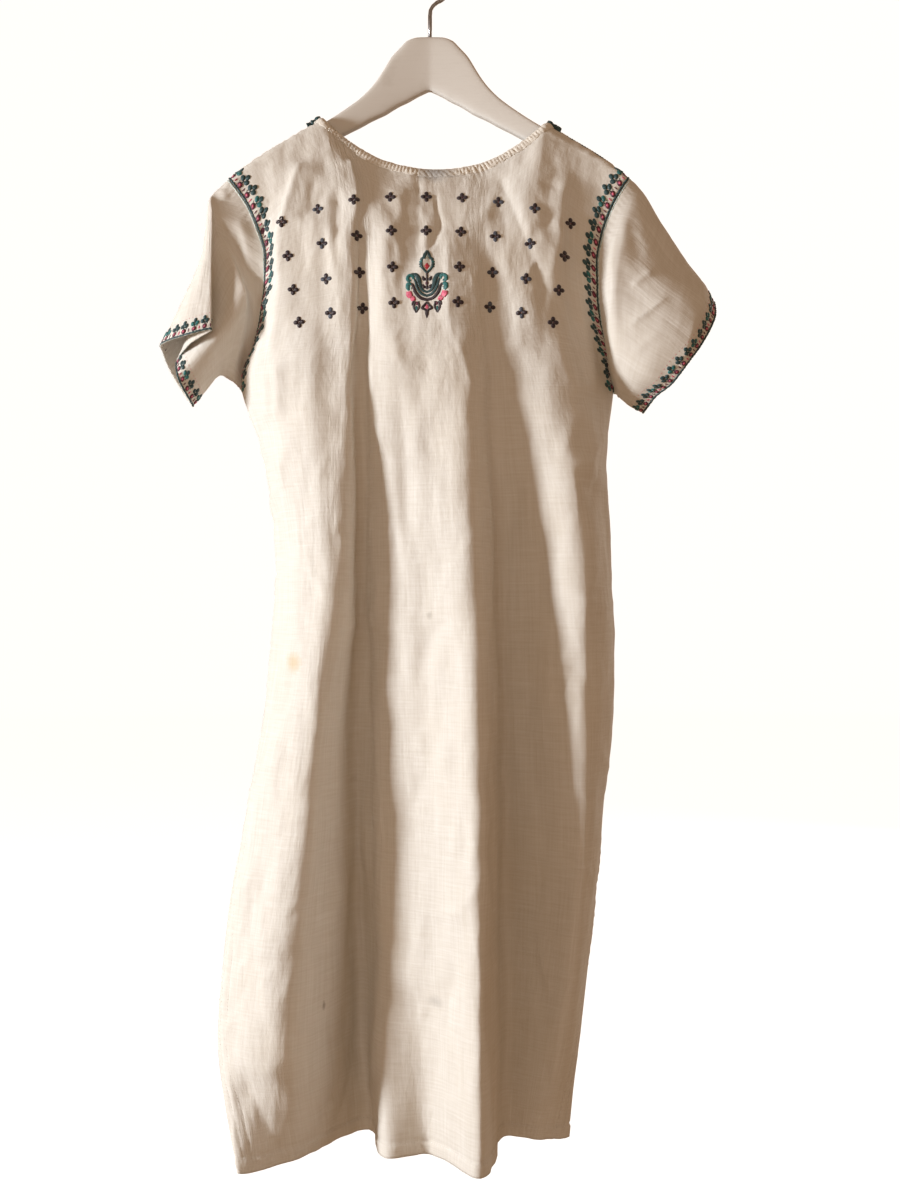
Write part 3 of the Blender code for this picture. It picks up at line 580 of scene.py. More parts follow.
def chain(points: Points, places: Points) -> Points:
    """Read a smooth curve through points.

    Args:
        points: Its points, of which the first and the last only aim it.
        places: Where to read it: 0 at the second point, 1 at the third and so on.

    Returns:
        One point for each place.
    """
    points = np.asarray(points, float)
    reach = np.sqrt(np.linalg.norm(np.diff(points, axis=0), axis=1)) + 1e-9
    knots = np.concatenate(([0.0], np.cumsum(reach)))
    ahead = np.diff(points, axis=0) / reach[:, None]
    tangents = (reach[1:, None] * ahead[:-1] + reach[:-1, None] * ahead[1:]) \
        / (reach[:-1] + reach[1:])[:, None]
    inner = points[1:-1]
    places = np.clip(np.asarray(places, float), 0.0, len(inner) - 1.0)
    span = np.minimum(places.astype(int), len(inner) - 2)
    t = (places - span)[:, None]
    width = np.diff(knots[1:-1])[span][:, None]
    return hermite(t, inner[span], width * tangents[span], inner[span + 1], width * tangents[span + 1])


def run_length(line: Points) -> Points:
    """Length along a line at each of its points."""
    return np.concatenate(([0.0], np.cumsum(np.linalg.norm(np.diff(line, axis=0), axis=1))))


def run_shares(line: Points) -> Points:
    """Share of a line's whole length at each of its points."""
    total = run_length(line)
    return total / total[-1]


def read_line(line: Points, knots: Points, where: Points) -> Points:
    """Read a line of points, straight between its knots."""
    return np.stack([np.interp(where, knots, line[:, axis]) for axis in range(3)], axis=1)


def along(line: Points, shares: Points) -> Points:
    """Read a line of points at shares of its length."""
    return read_line(line, run_shares(line), shares)


def row_runs(grid: Points) -> Points:
    """Length along its row at each point of a grid."""
    return np.array([run_length(row) for row in grid])


def column_runs(grid: Points) -> Points:
    """Length up its column at each point of a grid."""
    return row_runs(grid.transpose(1, 0, 2)).T


def wood_top(across: Points) -> Points:
    """Height of the hanger's upper edge."""
    table = np.asarray(WOOD_EDGES, float)
    return through(table[:, 0], table[:, 1], np.abs(across))


def ridge(across: Points) -> Points:
    """Height of the shoulder seam over the wood, which lifts off it towards the neck."""
    across = np.asarray(across, float)
    neck = np.where(across < 0, NECK_LEFT, NECK_RIGHT)
    shoulder = np.where(across < 0, SHOULDER_LEFT, SHOULDER_RIGHT)
    near_neck = np.clip((across - shoulder) / (neck - shoulder), 0.0, 1.0)
    return wood_top(across) + OVER_WOOD + NECK_RISE * near_neck**3


def hanger_away(across: Points) -> Points:
    """How far the hanger's arms sweep towards the camera."""
    return -ARM_SWEEP * (np.abs(across) / ARM_REACH) ** SWEEP_POWER


def crumple(grid: Points, size: float, seed: float, stretch: float = 1.0) -> Points:
    """Uneven soft lumps over a grid of points.

    Args:
        grid: Points in millimetres, rows by columns.
        size: Width of a lump across, in millimetres.
        seed: A different number for each set of lumps.
        stretch: How much taller than wide the lumps are.

    Returns:
        Values from about -1 to 1.
    """
    flat = grid.reshape(-1, 3)
    values = [noise.noise(Vector((x / size + seed, y / size, z / (size * stretch))))
              for x, y, z in flat]
    return np.array(values).reshape(grid.shape[:2])


# Mesh making

def grid_steps(verts: list, columns: int, rows: int) -> list:
    """List (vertex, column, row) for the vertices of a new grid, two units wide and tall."""
    return [(vert, round((vert.co.x + 1.0) / 2.0 * columns), round((vert.co.y + 1.0) / 2.0 * rows))
            for vert in verts]


def sheet_mesh(name: str, grid: Points, flip: bool = False, around: bool = False) -> Piece:
    """Bend a flat grid into rows of points, with a UV map in metres of cloth.

    Args:
        name: Name of the object.
        grid: Points in millimetres, rows by columns.
        flip: Whether the faces are turned over to point outwards.
        around: Whether the last column joins the first.

    Returns:
        The new object, linked to the scene.
    """
    if around:
        grid = np.concatenate((grid, grid[:, :1]), axis=1)
    rows, columns = grid.shape[:2]
    mesh = bmesh.new()
    uv_layer = mesh.loops.layers.uv.new("cloth")
    bmesh.ops.create_grid(mesh, x_segments=columns - 1, y_segments=rows - 1, size=1.0)
    wide = max(run_length(grid[rows // 2])[-1], run_length(grid[0])[-1]) * MM
    tall = run_length(grid[:, columns // 2])[-1] * MM
    places = {vert: (row, column) for vert, column, row in grid_steps(mesh.verts, columns - 1, rows - 1)}
    for face in mesh.faces:
        for loop in face.loops:
            row, column = places[loop.vert]
            loop[uv_layer].uv = (column / (columns - 1) * wide, row / (rows - 1) * tall)
    for vert, (row, column) in places.items():
        vert.co = Vector(grid[row, column]) * MM
    if around:
        seam = [vert for vert, (_, column) in places.items() if column in (0, columns - 1)]
        bmesh.ops.remove_doubles(mesh, verts=seam, dist=0.00001)
    if flip:
        bmesh.ops.reverse_faces(mesh, faces=mesh.faces)
    return finished(name, mesh)


def finished(name: str, mesh: bmesh.types.BMesh) -> Piece:
    """Turn a bmesh into a smooth object in the scene."""
    data = bpy.data.meshes.new(name)
    mesh.to_mesh(data)
    mesh.free()
    data.shade_smooth()
    made = bpy.data.objects.new(name, data)
    bpy.context.scene.collection.objects.link(made)
    return made


def close_ends(piece: Piece) -> Piece:
    """Fill a tube's open ends and turn its faces outwards."""
    mesh = bmesh.new()
    mesh.from_mesh(piece.data)
    bmesh.ops.holes_fill(mesh, edges=[edge for edge in mesh.edges if edge.is_boundary], sides=0)
    bmesh.ops.recalc_face_normals(mesh, faces=mesh.faces)
    mesh.to_mesh(piece.data)
    mesh.free()
    piece.data.shade_smooth()
    return piece


def thicken(piece: Piece, thickness: float) -> None:
    """Give a sheet its wall, half to each side."""
    wall = piece.modifiers.new("wall", "SOLIDIFY")
    wall.thickness = thickness * MM
    wall.offset = 0.0


def grid_tree(grid: Points, around: bool = False) -> BVHTree:
    """Make a search tree of a grid of points."""
    rows, columns = grid.shape[:2]
    points = [tuple(point) for point in grid.reshape(-1, 3)]
    reach = columns if around else columns - 1
    faces = [(row * columns + column, row * columns + (column + 1) % columns,
              (row + 1) * columns + (column + 1) % columns, (row + 1) * columns + column)
             for row in range(rows - 1) for column in range(reach)]
    return BVHTree.FromPolygons(points, faces)


def grid_normals(grid: Points, around: bool = False) -> Points:
    """Unit normals of a grid of points."""
    if around:
        wrapped = np.concatenate((grid[:, -1:], grid, grid[:, :1]), axis=1)
        across = wrapped[:, 2:] - wrapped[:, :-2]
    else:
        across = np.gradient(grid, axis=1)
    normal = np.cross(across, np.gradient(grid, axis=0))
    return normal / np.maximum(np.linalg.norm(normal, axis=2), 1e-9)[:, :, None]


class Panel:
    """The back or the front of the tunic as a surface over (place across, height).

    Places are numbered by the panel's fold lines, from 0 at the left seam. Height runs
    from 0 at the hem to 1 at the armpit and 2 at the shoulder seam and the neckline.
    """

    def __init__(self, side: Side, folds: tuple, other: tuple, creases: tuple, seed: float) -> None:
        """Take the panel's fold lines and creases.

        Args:
            side: Back or front.
            folds: The panel's own fold lines, left to right.
            other: The other panel's, whose outer lines aim this one's at the seams.
            creases: What is pressed into it.
            seed: A number of its own for its crumple.
        """
        self.side = side
        self.sign = side.value
        self.folds = folds
        self.other = other
        self.creases = creases
        self.seed = seed
        self.neck_folds = NECK_FOLDS[side]
        self.last = len(folds) + 1
        self.holes = [self.armhole(ARMHOLE_LEFT), self.armhole(ARMHOLE_RIGHT)]
        self.fine = np.linspace(0.0, self.last, 60 * self.last + 1)
        self.cut = run_shares(self.section(ARMPIT, self.fine))
        self.heights = self.row_heights()
        self.places = self.column_places()
        self.base = self.softened(np.array([self.trimmed(height) for height in self.heights]))
        self.outward = grid_normals(self.base)
        self.grid = self.pressed()

    def armhole(self, outline: tuple) -> Points:
        """Join an armhole's outline with its distance from the camera."""
        outline = np.asarray(outline, float)
        away = np.asarray(ARMHOLE_AWAY[self.side], float)
        line = np.stack([outline[:, 0], away, outline[:, 1]], axis=1)
        return through(run_shares(line), line, np.linspace(0.0, 1.0, 80))

    @staticmethod
    def line_at(fold: FoldLine, levels: tuple, height: float) -> Points:
        """Read a fold or seam line at one height."""
        return np.array([through(levels, fold.across, height)[0],
                         through(levels, fold.away, height)[0]])

    def seam_at(self, seam: FoldLine, slit: FoldLine, height: float) -> Points:
        """Read a side seam, or below the slit's top that panel's own edge."""
        place = self.line_at(seam, SEAM_LEVELS, height)
        if self.side is Side.FRONT:
            place = place + self.line_at(slit, SEAM_LEVELS, height)
        return place

    def section(self, height: float, places: Points) -> Points:
        """Cut the panel by a level plane below the armpit."""
        left = self.seam_at(LEFT_SEAM, LEFT_SLIT, height)
        right = self.seam_at(RIGHT_SEAM, RIGHT_SLIT, height)
        lines = [self.line_at(fold, FOLD_LEVELS, height) for fold in self.folds]
        beyond_left = self.line_at(self.other[0], FOLD_LEVELS, height)
        beyond_right = self.line_at(self.other[-1], FOLD_LEVELS, height)
        flat = chain([beyond_left, left] + lines + [right, beyond_right], places)
        return np.column_stack([flat, np.full(len(flat), height)])

    def shares(self, places: Points) -> Points:
        """Share of the panel's width at the armpit's level, at each place across."""
        return np.interp(places, self.fine, self.cut)

    def top_edge(self, places: Points) -> Points:
        """The shoulder seams and the neckline."""
        shares = self.shares(places)
        left, right = self.shares(np.asarray(self.neck_folds, float))
        depth = NECK_DEPTH[self.side]
        power = NECK_POWER[self.side]
        on_left = shares / left
        on_right = (shares - right) / (1.0 - right)
        on_neck = np.clip((shares - left) / (right - left), 0.0, 1.0)
        reach = self.neck_reach(on_neck, depth, power)
        middle, half = (NECK_LEFT + NECK_RIGHT) / 2, (NECK_RIGHT - NECK_LEFT) / 2
        across = np.where(
            shares < left, SHOULDER_LEFT + (NECK_LEFT - SHOULDER_LEFT) * on_left,
            np.where(shares > right, NECK_RIGHT + (SHOULDER_RIGHT - NECK_RIGHT) * on_right,
                     middle + reach * half))
        dip = depth * (1.0 - np.abs(reach) ** power)
        on_wood = (shares <= left) | (shares >= right)
        points = ridge(NECK_LEFT) * (1.0 - on_neck) + ridge(NECK_RIGHT) * on_neck
        up = np.where(on_wood, ridge(across), points - dip)
        corner = hanger_away(NECK_LEFT) * (1.0 - on_neck) + hanger_away(NECK_RIGHT) * on_neck
        bow = NECK_BOW[self.side]
        away = np.where(on_wood, hanger_away(across), corner + self.sign * bow * (1.0 - reach**2))
        return np.column_stack([across, away, up])

    @staticmethod
    def neck_reach(on_neck: Points, depth: float, power: float) -> Points:
        """Spread points evenly along the neckline's curve, from -1 to 1."""
        fine = np.linspace(-1.0, 1.0, 401)
        half = (NECK_RIGHT - NECK_LEFT) / 2
        curve = np.column_stack([fine * half, depth * (1.0 - np.abs(fine) ** power),
                                 np.zeros(len(fine))])
        return np.interp(on_neck, run_shares(curve), fine)

    def row(self, height: float, places: Points) -> Points:
        """Points of the panel at one height, at the given places across."""
        places = np.asarray(places, float)
        if height <= 1.0:
            return self.section(HEM + (ARMPIT - HEM) * height, places)
        rise = height - 1.0
        plain = self.patch(rise, places)
        below = ridge(plain[:, 0]) - plain[:, 2]
        turn = np.sqrt(1.0 - (1.0 - np.clip(below / TURN_DOWN, 0.0, 1.0)) ** 2)
        plain[:, 1] += self.sign * TURN_OUT * turn * ease(rise / TURN_FADE)
        return plain

    def patch(self, rise: float, places: Points) -> Points:
        """Blend the armpit's section, the armholes and the top edge."""
        ends = np.array([0.0, float(self.last)])
        bottom = self.section(ARMPIT, places)
        top = self.top_edge(places)
        corner_low = self.section(ARMPIT, ends)
        corner_top = self.top_edge(ends)
        side = self.shares(places)[:, None]
        edges = []
        for index, hole in enumerate(self.holes):
            edges.append(along(hole, [rise])[0] + (1 - rise) * (corner_low[index] - hole[0])
                         + rise * (corner_top[index] - hole[-1]))
        below = self.section(ARMPIT - SLOPE_STEP, places)
        hang = (bottom - below) / SLOPE_STEP * (top[:, 2:] - bottom[:, 2:])
        lead = (hang - (top - bottom)) * np.array([1.0, 1.0, 0.0])
        inside = ease(np.minimum(side, 1.0 - side) / SIDE_BLEND)
        bottom = bottom + lead * inside * rise * (1 - rise)
        ruled = (1 - rise) * bottom + rise * top + (1 - side) * edges[0] + side * edges[1]
        corners = ((1 - rise) * ((1 - side) * corner_low[0] + side * corner_low[1])
                   + rise * ((1 - side) * corner_top[0] + side * corner_top[1]))
        return ruled - corners

    def trimmed(self, height: float) -> Points:
        """One row of the cloth, shortened by the seam's trim at each side."""
        line = self.row(height, self.places)
        reach = run_length(line)
        return read_line(line, reach, np.clip(reach, SEAM_TRIM, reach[-1] - SEAM_TRIM))

    @staticmethod
    def softened(base: Points) -> Points:
        """Ease the cloth's fall past the armpit's level, away from its edges.

        Args:
            base: Points of the panel, rows by columns.

        Returns:
            The same points with their distances from the camera eased.
        """
        below, above, step, half, soft = 190.0, 150.0, 2.0, 40, 15.0
        edge_blend, height_blend = 45.0, 62.0
        levels = np.arange(ARMPIT - below, ARMPIT + above, step)
        weights = bell(np.arange(-half, half + 1), 0.0, soft)
        weights /= weights.sum()
        eased = base.copy()
        reach = run_length(base[len(base) // 2])
        inside = ease(np.minimum(reach, reach[-1] - reach) / edge_blend)
        for column in range(base.shape[1]):
            up = base[:, column, 2]
            away = np.interp(levels, up, base[:, column, 1])
            padded = np.pad(away, half, mode="edge")
            smooth = np.interp(up, levels, np.convolve(padded, weights, mode="valid"))
            near = np.exp(-((up - ARMPIT) / height_blend) ** 4) * inside[column]
            eased[:, column, 1] += near * (smooth - base[:, column, 1])
        return eased

    def row_heights(self) -> Points:
        """Heights of the rows, closer together at the hem and over the hanger."""
        hem = np.linspace(0.0, 0.03, 9)
        body = np.linspace(0.03, 1.0, 162)[1:]
        chest = np.linspace(1.0, 1.95, 84)[1:]
        over = 2.0 - np.array((9.5, 7.6, 6.0, 4.6, 3.4, 2.4, 1.6, 1.0, 0.5, 0.15, 0.0)) / TOP_COLUMN
        return np.concatenate((hem, body, chest, over))

    def column_places(self, count: int = 156) -> Points:
        """Places of the columns, evenly spread between the armpit's and the hem's widths."""
        hem = run_shares(self.section(HEM, self.fine))
        middle = run_shares(self.section((HEM + ARMPIT) / 2, self.fine))
        mean = (self.cut * 2.0 + hem + middle) / 4.0
        places = np.interp(np.linspace(0.0, 1.0, count), mean, self.fine)
        for corner in self.neck_folds:
            places[np.argmin(np.abs(places - corner))] = corner
        return places

    def pressed(self) -> Points:
        """Press the creases, the crumple and the sewn edges into the cloth."""
        base = self.base
        across, up = base[:, :, 0], base[:, :, 2]
        from_left, from_hem = row_runs(base), column_runs(base)
        from_edge = np.minimum(from_left, from_left[:, -1:] - from_left)
        from_top = from_hem[-1:] - from_hem
        start, end = self.neck_folds
        on_neck = (ease((self.places - start) / SEWN.neck_blend)
                   * ease((end - self.places) / SEWN.neck_blend))
        press = sum(crease.press(across, up) for crease in self.creases)
        press = press + sum(lumps.press(base, self.seed) for lumps in PANEL_LUMPS)
        at_top = 1.0 - ease((from_top - SEWN.top_free) / SEWN.top_hold)
        press *= ease(from_edge / SEWN.side_hold) * (1.0 - at_top * (1.0 - SEWN.neck_slack * on_neck))
        drift = SEWN.drift.press(base, self.seed)
        press += (0.6 + 0.5 * drift) * HEM_PUCKER.press(from_left, from_hem, drift)
        press += on_neck * NECK_GATHER.press(from_left, from_top, drift)
        press += ease((up - ARMPIT) / SEWN.armhole_blend) * ARMHOLE_PULL.press(up, from_edge, drift)
        low = ease((SEWN.slit_pucker_top - up) / SEWN.slit_pucker_blend)
        press += low * SLIT_PUCKER.press(up, from_edge, drift)
        tucks = SEWN.tuck * np.sin(2 * math.pi * (across / SEWN.tuck_pitch + drift))
        press += (1 - on_neck) * tucks * np.exp(-from_top / SEWN.tuck_long) * ease(from_top / 2.0)
        press += SEWN.hem_thick * ease((SEWN.hem - from_hem) / SEWN.hem_slope)
        press -= SEWN.hem_groove * bell(from_hem, SEWN.hem_groove_up, SEWN.hem_groove_wide)
        beside_slit = SEWN.slit_groove * ease((SEWN.slit_top - up) / SEWN.slit_blend)
        for lane in SEWN.slit_rows:
            press -= beside_slit * bell(from_edge, lane, SEWN.slit_groove_wide)
        return base - self.outward * (self.sign * press)[:, :, None]

    def inner_point(self) -> tuple:
        """A far point on the inner side of this panel."""
        return 0.0, -1000.0 * self.sign, -600.0

    def side_lines(self, hand: Hand, chosen: Points) -> Points:
        """Chosen rows of the cloth, each one from the seam at a hand inwards."""
        lines = self.grid[chosen]
        return lines[:, ::-1] if hand is Hand.RIGHT else lines

    def edge(self, hand: Hand, count: int) -> Points:
        """The armhole's edge from the shoulder down to the armpit, evenly spread."""
        place = [float(self.last) if hand is Hand.RIGHT else 0.0]
        heights = np.concatenate((2.0 - 0.1 * np.linspace(0.0, 1.0, 25) ** 2,
                                  np.linspace(1.9, 1.0, 90)[1:]))
        line = np.array([self.row(height, place)[0] for height in heights])
        return along(line, np.linspace(0.0, 1.0, count))

    def build(self, name: str) -> Piece:
        """Make the panel's cloth, with its wall and its UV map."""
        piece = sheet_mesh(name, self.grid, flip=self.side is Side.FRONT)
        thicken(piece, SHELL)
        return piece


class Sleeve:
    """A set-in sleeve as rings from the armhole to the cuff."""

    def __init__(self, hand: Hand, lines: tuple, back: Panel, front: Panel, creases: tuple) -> None:
        """Take the sleeve's lines and the panels whose armhole it is sewn into."""
        self.hand = hand
        self.lines = lines
        self.creases = creases
        self.knots = np.array([line.share for line in lines] + [1.0])
        self.underarm = next(line.share for line in lines if line.name == "underarm")
        self.back_edge = back.edge(hand, 240)
        self.front_edge = front.edge(hand, 240)
        self.levels = np.concatenate((np.linspace(0.0, 0.2, 24), np.linspace(0.2, 1.0, 88)[1:]))
        self.shares = self.even_shares(216)
        self.base = self.rings()
        self.outward = grid_normals(self.base, around=True) * float(hand.value)
        self.grid = self.pressed()

    def even_shares(self, count: int) -> Points:
        """Shares that spread the columns evenly round the cuff and the armhole."""
        fine = np.linspace(0.0, 1.0, 801)
        spread = (run_shares(self.ring(1.0, fine)) + run_shares(self.ring(0.02, fine)) + fine) / 3.0
        return np.interp(np.linspace(0.0, 1.0, count, endpoint=False), spread, fine)

    def armhole(self, shares: Points) -> Points:
        """The armhole's ring: down the back's edge, and up the front's."""
        shares = np.asarray(shares, float)
        down = along(self.back_edge, np.clip(shares / self.underarm, 0.0, 1.0))
        up = np.clip((1.0 - shares) / (1.0 - self.underarm), 0.0, 1.0)
        return np.where((shares <= self.underarm)[:, None], down, along(self.front_edge, up))

    def ring(self, level: float, shares: Points) -> Points:
        """The ring at a share of the way to the cuff."""
        places = np.interp(shares, self.knots, np.arange(len(self.knots)))
        start = self.armhole(shares)
        starts = self.armhole(self.knots[:-1])
        lines = []
        for line, first in zip(self.lines, starts):
            table = np.array([first, line.near_armhole, line.middle, line.cuff], float)
            lines.append(through((0.0,) + SLEEVE_LEVELS, table, level)[0])
        ring = chain([lines[-1]] + lines + [lines[0], lines[1]], places)
        plain = chain([starts[-1]] + list(starts) + [starts[0], starts[1]], places)
        return ring + (start - plain) * (1.0 - ease(level / SLEEVE_LEVELS[0]))

    def rings(self) -> Points:
        """Rings of points, the first one just off the armhole."""
        rings = np.array([self.ring(level, self.shares) for level in self.levels])
        outward = rings[2] - rings[0]
        outward /= np.linalg.norm(outward, axis=1)[:, None]
        rings[0] = rings[0] + outward * SLEEVE_START
        return rings

    def pressed(self) -> Points:
        """Press creases, crumple and puckers into the sleeve."""
        base = self.base
        near = ease((0.15 - self.outward[:, :, 1]) / 0.3)
        press = sum(crease.press(base[:, :, 0], base[:, :, 2]) for crease in self.creases) * near
        far = np.roll(press[:, ::-1], 9, axis=1) * 0.7
        seed = 51.0 + 10.0 * self.hand.value
        press = press + far * (1.0 - near) + sum(lumps.press(base, seed) for lumps in SLEEVE_LUMPS)
        from_seam, around = column_runs(base), row_runs(base)
        drift = SLEEVE_DRIFT.press(base, seed)
        press *= ease(from_seam / 6.0)
        press += SLEEVE_SEAM_PUCKER.press(around, from_seam, drift)
        press += CUFF_PUCKER.press(around, from_seam[-1:] - from_seam, drift)
        return base + self.outward * press[:, :, None]

    def inner_point(self) -> tuple:
        """The middle of the sleeve."""
        return tuple(self.base.reshape(-1, 3).mean(axis=0))

    def build(self, name: str) -> Piece:
        """Make the sleeve's cloth, with its wall and its UV map."""
        piece = sheet_mesh(name, self.grid, flip=self.hand is Hand.LEFT, around=True)
        thicken(piece, SHELL)
        return piece


class Ground:
    """A flat drawing place that is laid onto cloth: the base of edge bands and plans."""

    def lay(self, flat: Points) -> Points:
        """Carry points (along, inwards, above the cloth) onto the cloth."""
        raise NotImplementedError


class EdgeBand(Ground):
    """A band of cloth beside an edge, read by the length along it and the way in from it."""

    def __init__(self, lines: Points, depth: float, inside: tuple, closed: bool = False) -> None:
        """Measure the band.

        Args:
            lines: Points, one line a row, each from the edge into the cloth.
            depth: How far the band reaches in, in millimetres.
            inside: A point on the cloth's inner side, which the normals turn away from.
            closed: Whether the band runs round and meets itself.
        """
        if closed:
            lines = np.concatenate((lines, lines[:1]), axis=0)
        self.ways = np.linspace(0.0, depth, int(depth) + 1)
        self.table = np.array([read_line(line, run_length(line), self.ways) for line in lines])
        self.reach = run_length(self.table[:, min(4, len(self.ways) - 1)])
        self.length = self.reach[-1]
        self.closed = closed
        normal = np.cross(np.gradient(self.table, axis=0), np.gradient(self.table, axis=1))
        normal /= np.maximum(np.linalg.norm(normal, axis=2), 1e-9)[:, :, None]
        from_inside = self.table - np.asarray(inside, float)
        self.normals = normal * np.sign(np.mean(np.sum(normal * from_inside, axis=2)))

    def read(self, table: Points, run: Points, way: Points) -> Points:
        """Read a table of the band between its stations.

        Args:
            table: The band's points or normals.
            run: Lengths along the band.
            way: Distances from its edge.

        Returns:
            One row for each length and distance.
        """
        if self.closed:
            run = np.mod(run, self.length)
        row = np.interp(run, self.reach, np.arange(len(self.reach)))
        column = np.clip(way, 0.0, self.ways[-1]) / self.ways[-1] * (len(self.ways) - 1)
        low = np.minimum(row.astype(int), table.shape[0] - 2)
        left = np.minimum(column.astype(int), table.shape[1] - 2)
        up, right = (row - low)[:, None], (column - left)[:, None]
        near = table[low, left] * (1 - up) + table[low + 1, left] * up
        far = table[low, left + 1] * (1 - up) + table[low + 1, left + 1] * up
        return near * (1 - right) + far * right

    def lay(self, flat: Points) -> Points:
        """Carry points (along, inwards, above the cloth) onto the band."""
        place = self.read(self.table, flat[:, 0], flat[:, 1])
        normal = self.read(self.normals, flat[:, 0], flat[:, 1])
        normal /= np.maximum(np.linalg.norm(normal, axis=1), 1e-9)[:, None]
        return place + normal * (flat[:, 2:] + SHELL / 2)


class PlanGround(Ground):
    """The visible back as a plan: points (across, up, above the cloth) are cast onto it."""

    def __init__(self, grid: Points) -> None:
        """Make the search tree of the back's cloth."""
        self.tree = grid_tree(grid)

    def lay(self, flat: Points) -> Points:
        """Carry points of the plan onto the back."""
        laid = []
        for across, up, above in flat:
            hit, normal, _, _ = self.tree.ray_cast(Vector((across, -400.0, up)), Vector((0, 1, 0)))
            if hit is None:
                hit, normal, _, _ = self.tree.find_nearest(Vector((across, -50.0, up)))
            if normal.y > 0:
                normal = -normal
            laid.append(hit + normal * (above + SHELL / 2))
        return np.array(laid)


# Finishes

class Thread(Enum):
    """The colours of embroidery and sewing thread. Slate is a painted sheen, and pale teal is also a
    painted edge highlight.
    """

    TEAL = (0.012, 0.135, 0.135)
    DEEP_TEAL = (0.012, 0.050, 0.056)
    PLUM = (0.020, 0.008, 0.013)
    # Slate blue: a painted sheen, put on some of the plum flower petals
    SLATE = (0.052, 0.060, 0.085)
    MAROON = (0.105, 0.016, 0.036)
    PINK = (0.72, 0.11, 0.19)
    RED = (0.42, 0.022, 0.040)
    # Pale teal: thread of the figure, also used as a painted highlight along the armhole seams and the cuff
    # edges
    PALE_TEAL_AND_EDGE_HIGHLIGHT = (0.50, 0.66, 0.60)
    CREAM = (0.80, 0.73, 0.60)


class NodeTools:
    """Short ways to place nodes in a tree."""

    def __init__(self, tree: bpy.types.NodeTree) -> None:
        """Work on one tree."""
        self.tree = tree

    def add(self, kind: str, settings: dict | None = None, **values: object) -> bpy.types.Node:
        """Place a node.

        Args:
            kind: The node's type.
            settings: Attributes of the node itself.
            values: Socket values or output sockets to link, by socket name with _ for a space.

        Returns:
            The node.
        """
        node = self.tree.nodes.new(kind)
        for key, value in (settings or {}).items():
            setattr(node, key, value)
        self.fill(node, **values)
        return node

    def feed(self, socket: Socket, value: object) -> None:
        """Link a socket into another, or set its value."""
        if isinstance(value, Socket):
            self.tree.links.new(value, socket)
        else:
            socket.default_value = value

    def fill(self, node: bpy.types.Node, **values: object) -> None:
        """Link or set some sockets of a node, by their names with _ for a space."""
        for key, value in values.items():
            self.feed(node.inputs[key.replace("_", " ")], value)

    def math(self, operation: str, first: object, second: object = 0.0) -> Socket:
        """Place a Math node and give its output."""
        node = self.add("ShaderNodeMath", {"operation": operation})
        self.feed(node.inputs[0], first)
        self.feed(node.inputs[1], second)
        return node.outputs[0]

    def times(self, first: object, second: object) -> Socket:
        """Multiply two values."""
        return self.math("MULTIPLY", first, second)

    def plus(self, first: object, second: object) -> Socket:
        """Add two values."""
        return self.math("ADD", first, second)

    def vector(self, operation: str, first: object, second: object) -> bpy.types.Node:
        """Place a Vector Math node."""
        node = self.add("ShaderNodeVectorMath", {"operation": operation})
        self.feed(node.inputs[0], first)
        self.feed(node.inputs[1], second)
        return node

    def bump(self, height: Socket, strength: float, distance: float,
             **under: object) -> Socket:
        """Place a Bump node of some millimetres, on top of another one's normal if given."""
        node = self.add("ShaderNodeBump", Height=height, Strength=strength, Distance=distance * MM,
                        **under)
        return node.outputs[0]

    def tone(self, vector: Socket, scale: tuple,
             detail: float = 2.0) -> Socket:
        """Read a noise, 0 to 1, at a stretched vector."""
        stretched = self.vector("MULTIPLY", vector, scale).outputs[0]
        return self.add("ShaderNodeTexNoise", Vector=stretched, Scale=1.0, Detail=detail,
                        Roughness=0.55).outputs["Fac"]

    def mixed(self, factor: object, first: object, second: object) -> Socket:
        """Mix two colours, each a socket or three numbers."""
        node = self.add("ShaderNodeMix", {"data_type": "RGBA"}, Factor=factor)
        for socket, colour in zip((node.inputs[6], node.inputs[7]), (first, second)):
            self.feed(socket, (*colour, 1.0) if isinstance(colour, tuple) else colour)
        return node.outputs[2]

    def ranged(self, value: object, low: float, high: float, start: float = 0.0,
               end: float = 1.0) -> Socket:
        """Map a value's range onto another, clamped."""
        return self.add("ShaderNodeMapRange", Value=value, From_Min=low, From_Max=high, To_Min=start,
                        To_Max=end).outputs[0]


def node_group(name: str, inputs: tuple, outputs: tuple) -> tuple:
    """Make an empty shader group.

    Args:
        name: The group's name.
        inputs: (name, socket type, default) of each input.
        outputs: Name of each output, which is a number.

    Returns:
        The group, its tools, its input node and its output node.
    """
    group = bpy.data.node_groups.new(name, "ShaderNodeTree")
    for label, kind, default in inputs:
        socket = group.interface.new_socket(name=label, in_out="INPUT", socket_type=kind)
        if default is not None:
            socket.default_value = default
    for label in outputs:
        group.interface.new_socket(name=label, in_out="OUTPUT", socket_type="NodeSocketFloat")
    start = group.nodes.new("NodeGroupInput")
    end = group.nodes.new("NodeGroupOutput")
    return group, NodeTools(group), start, end


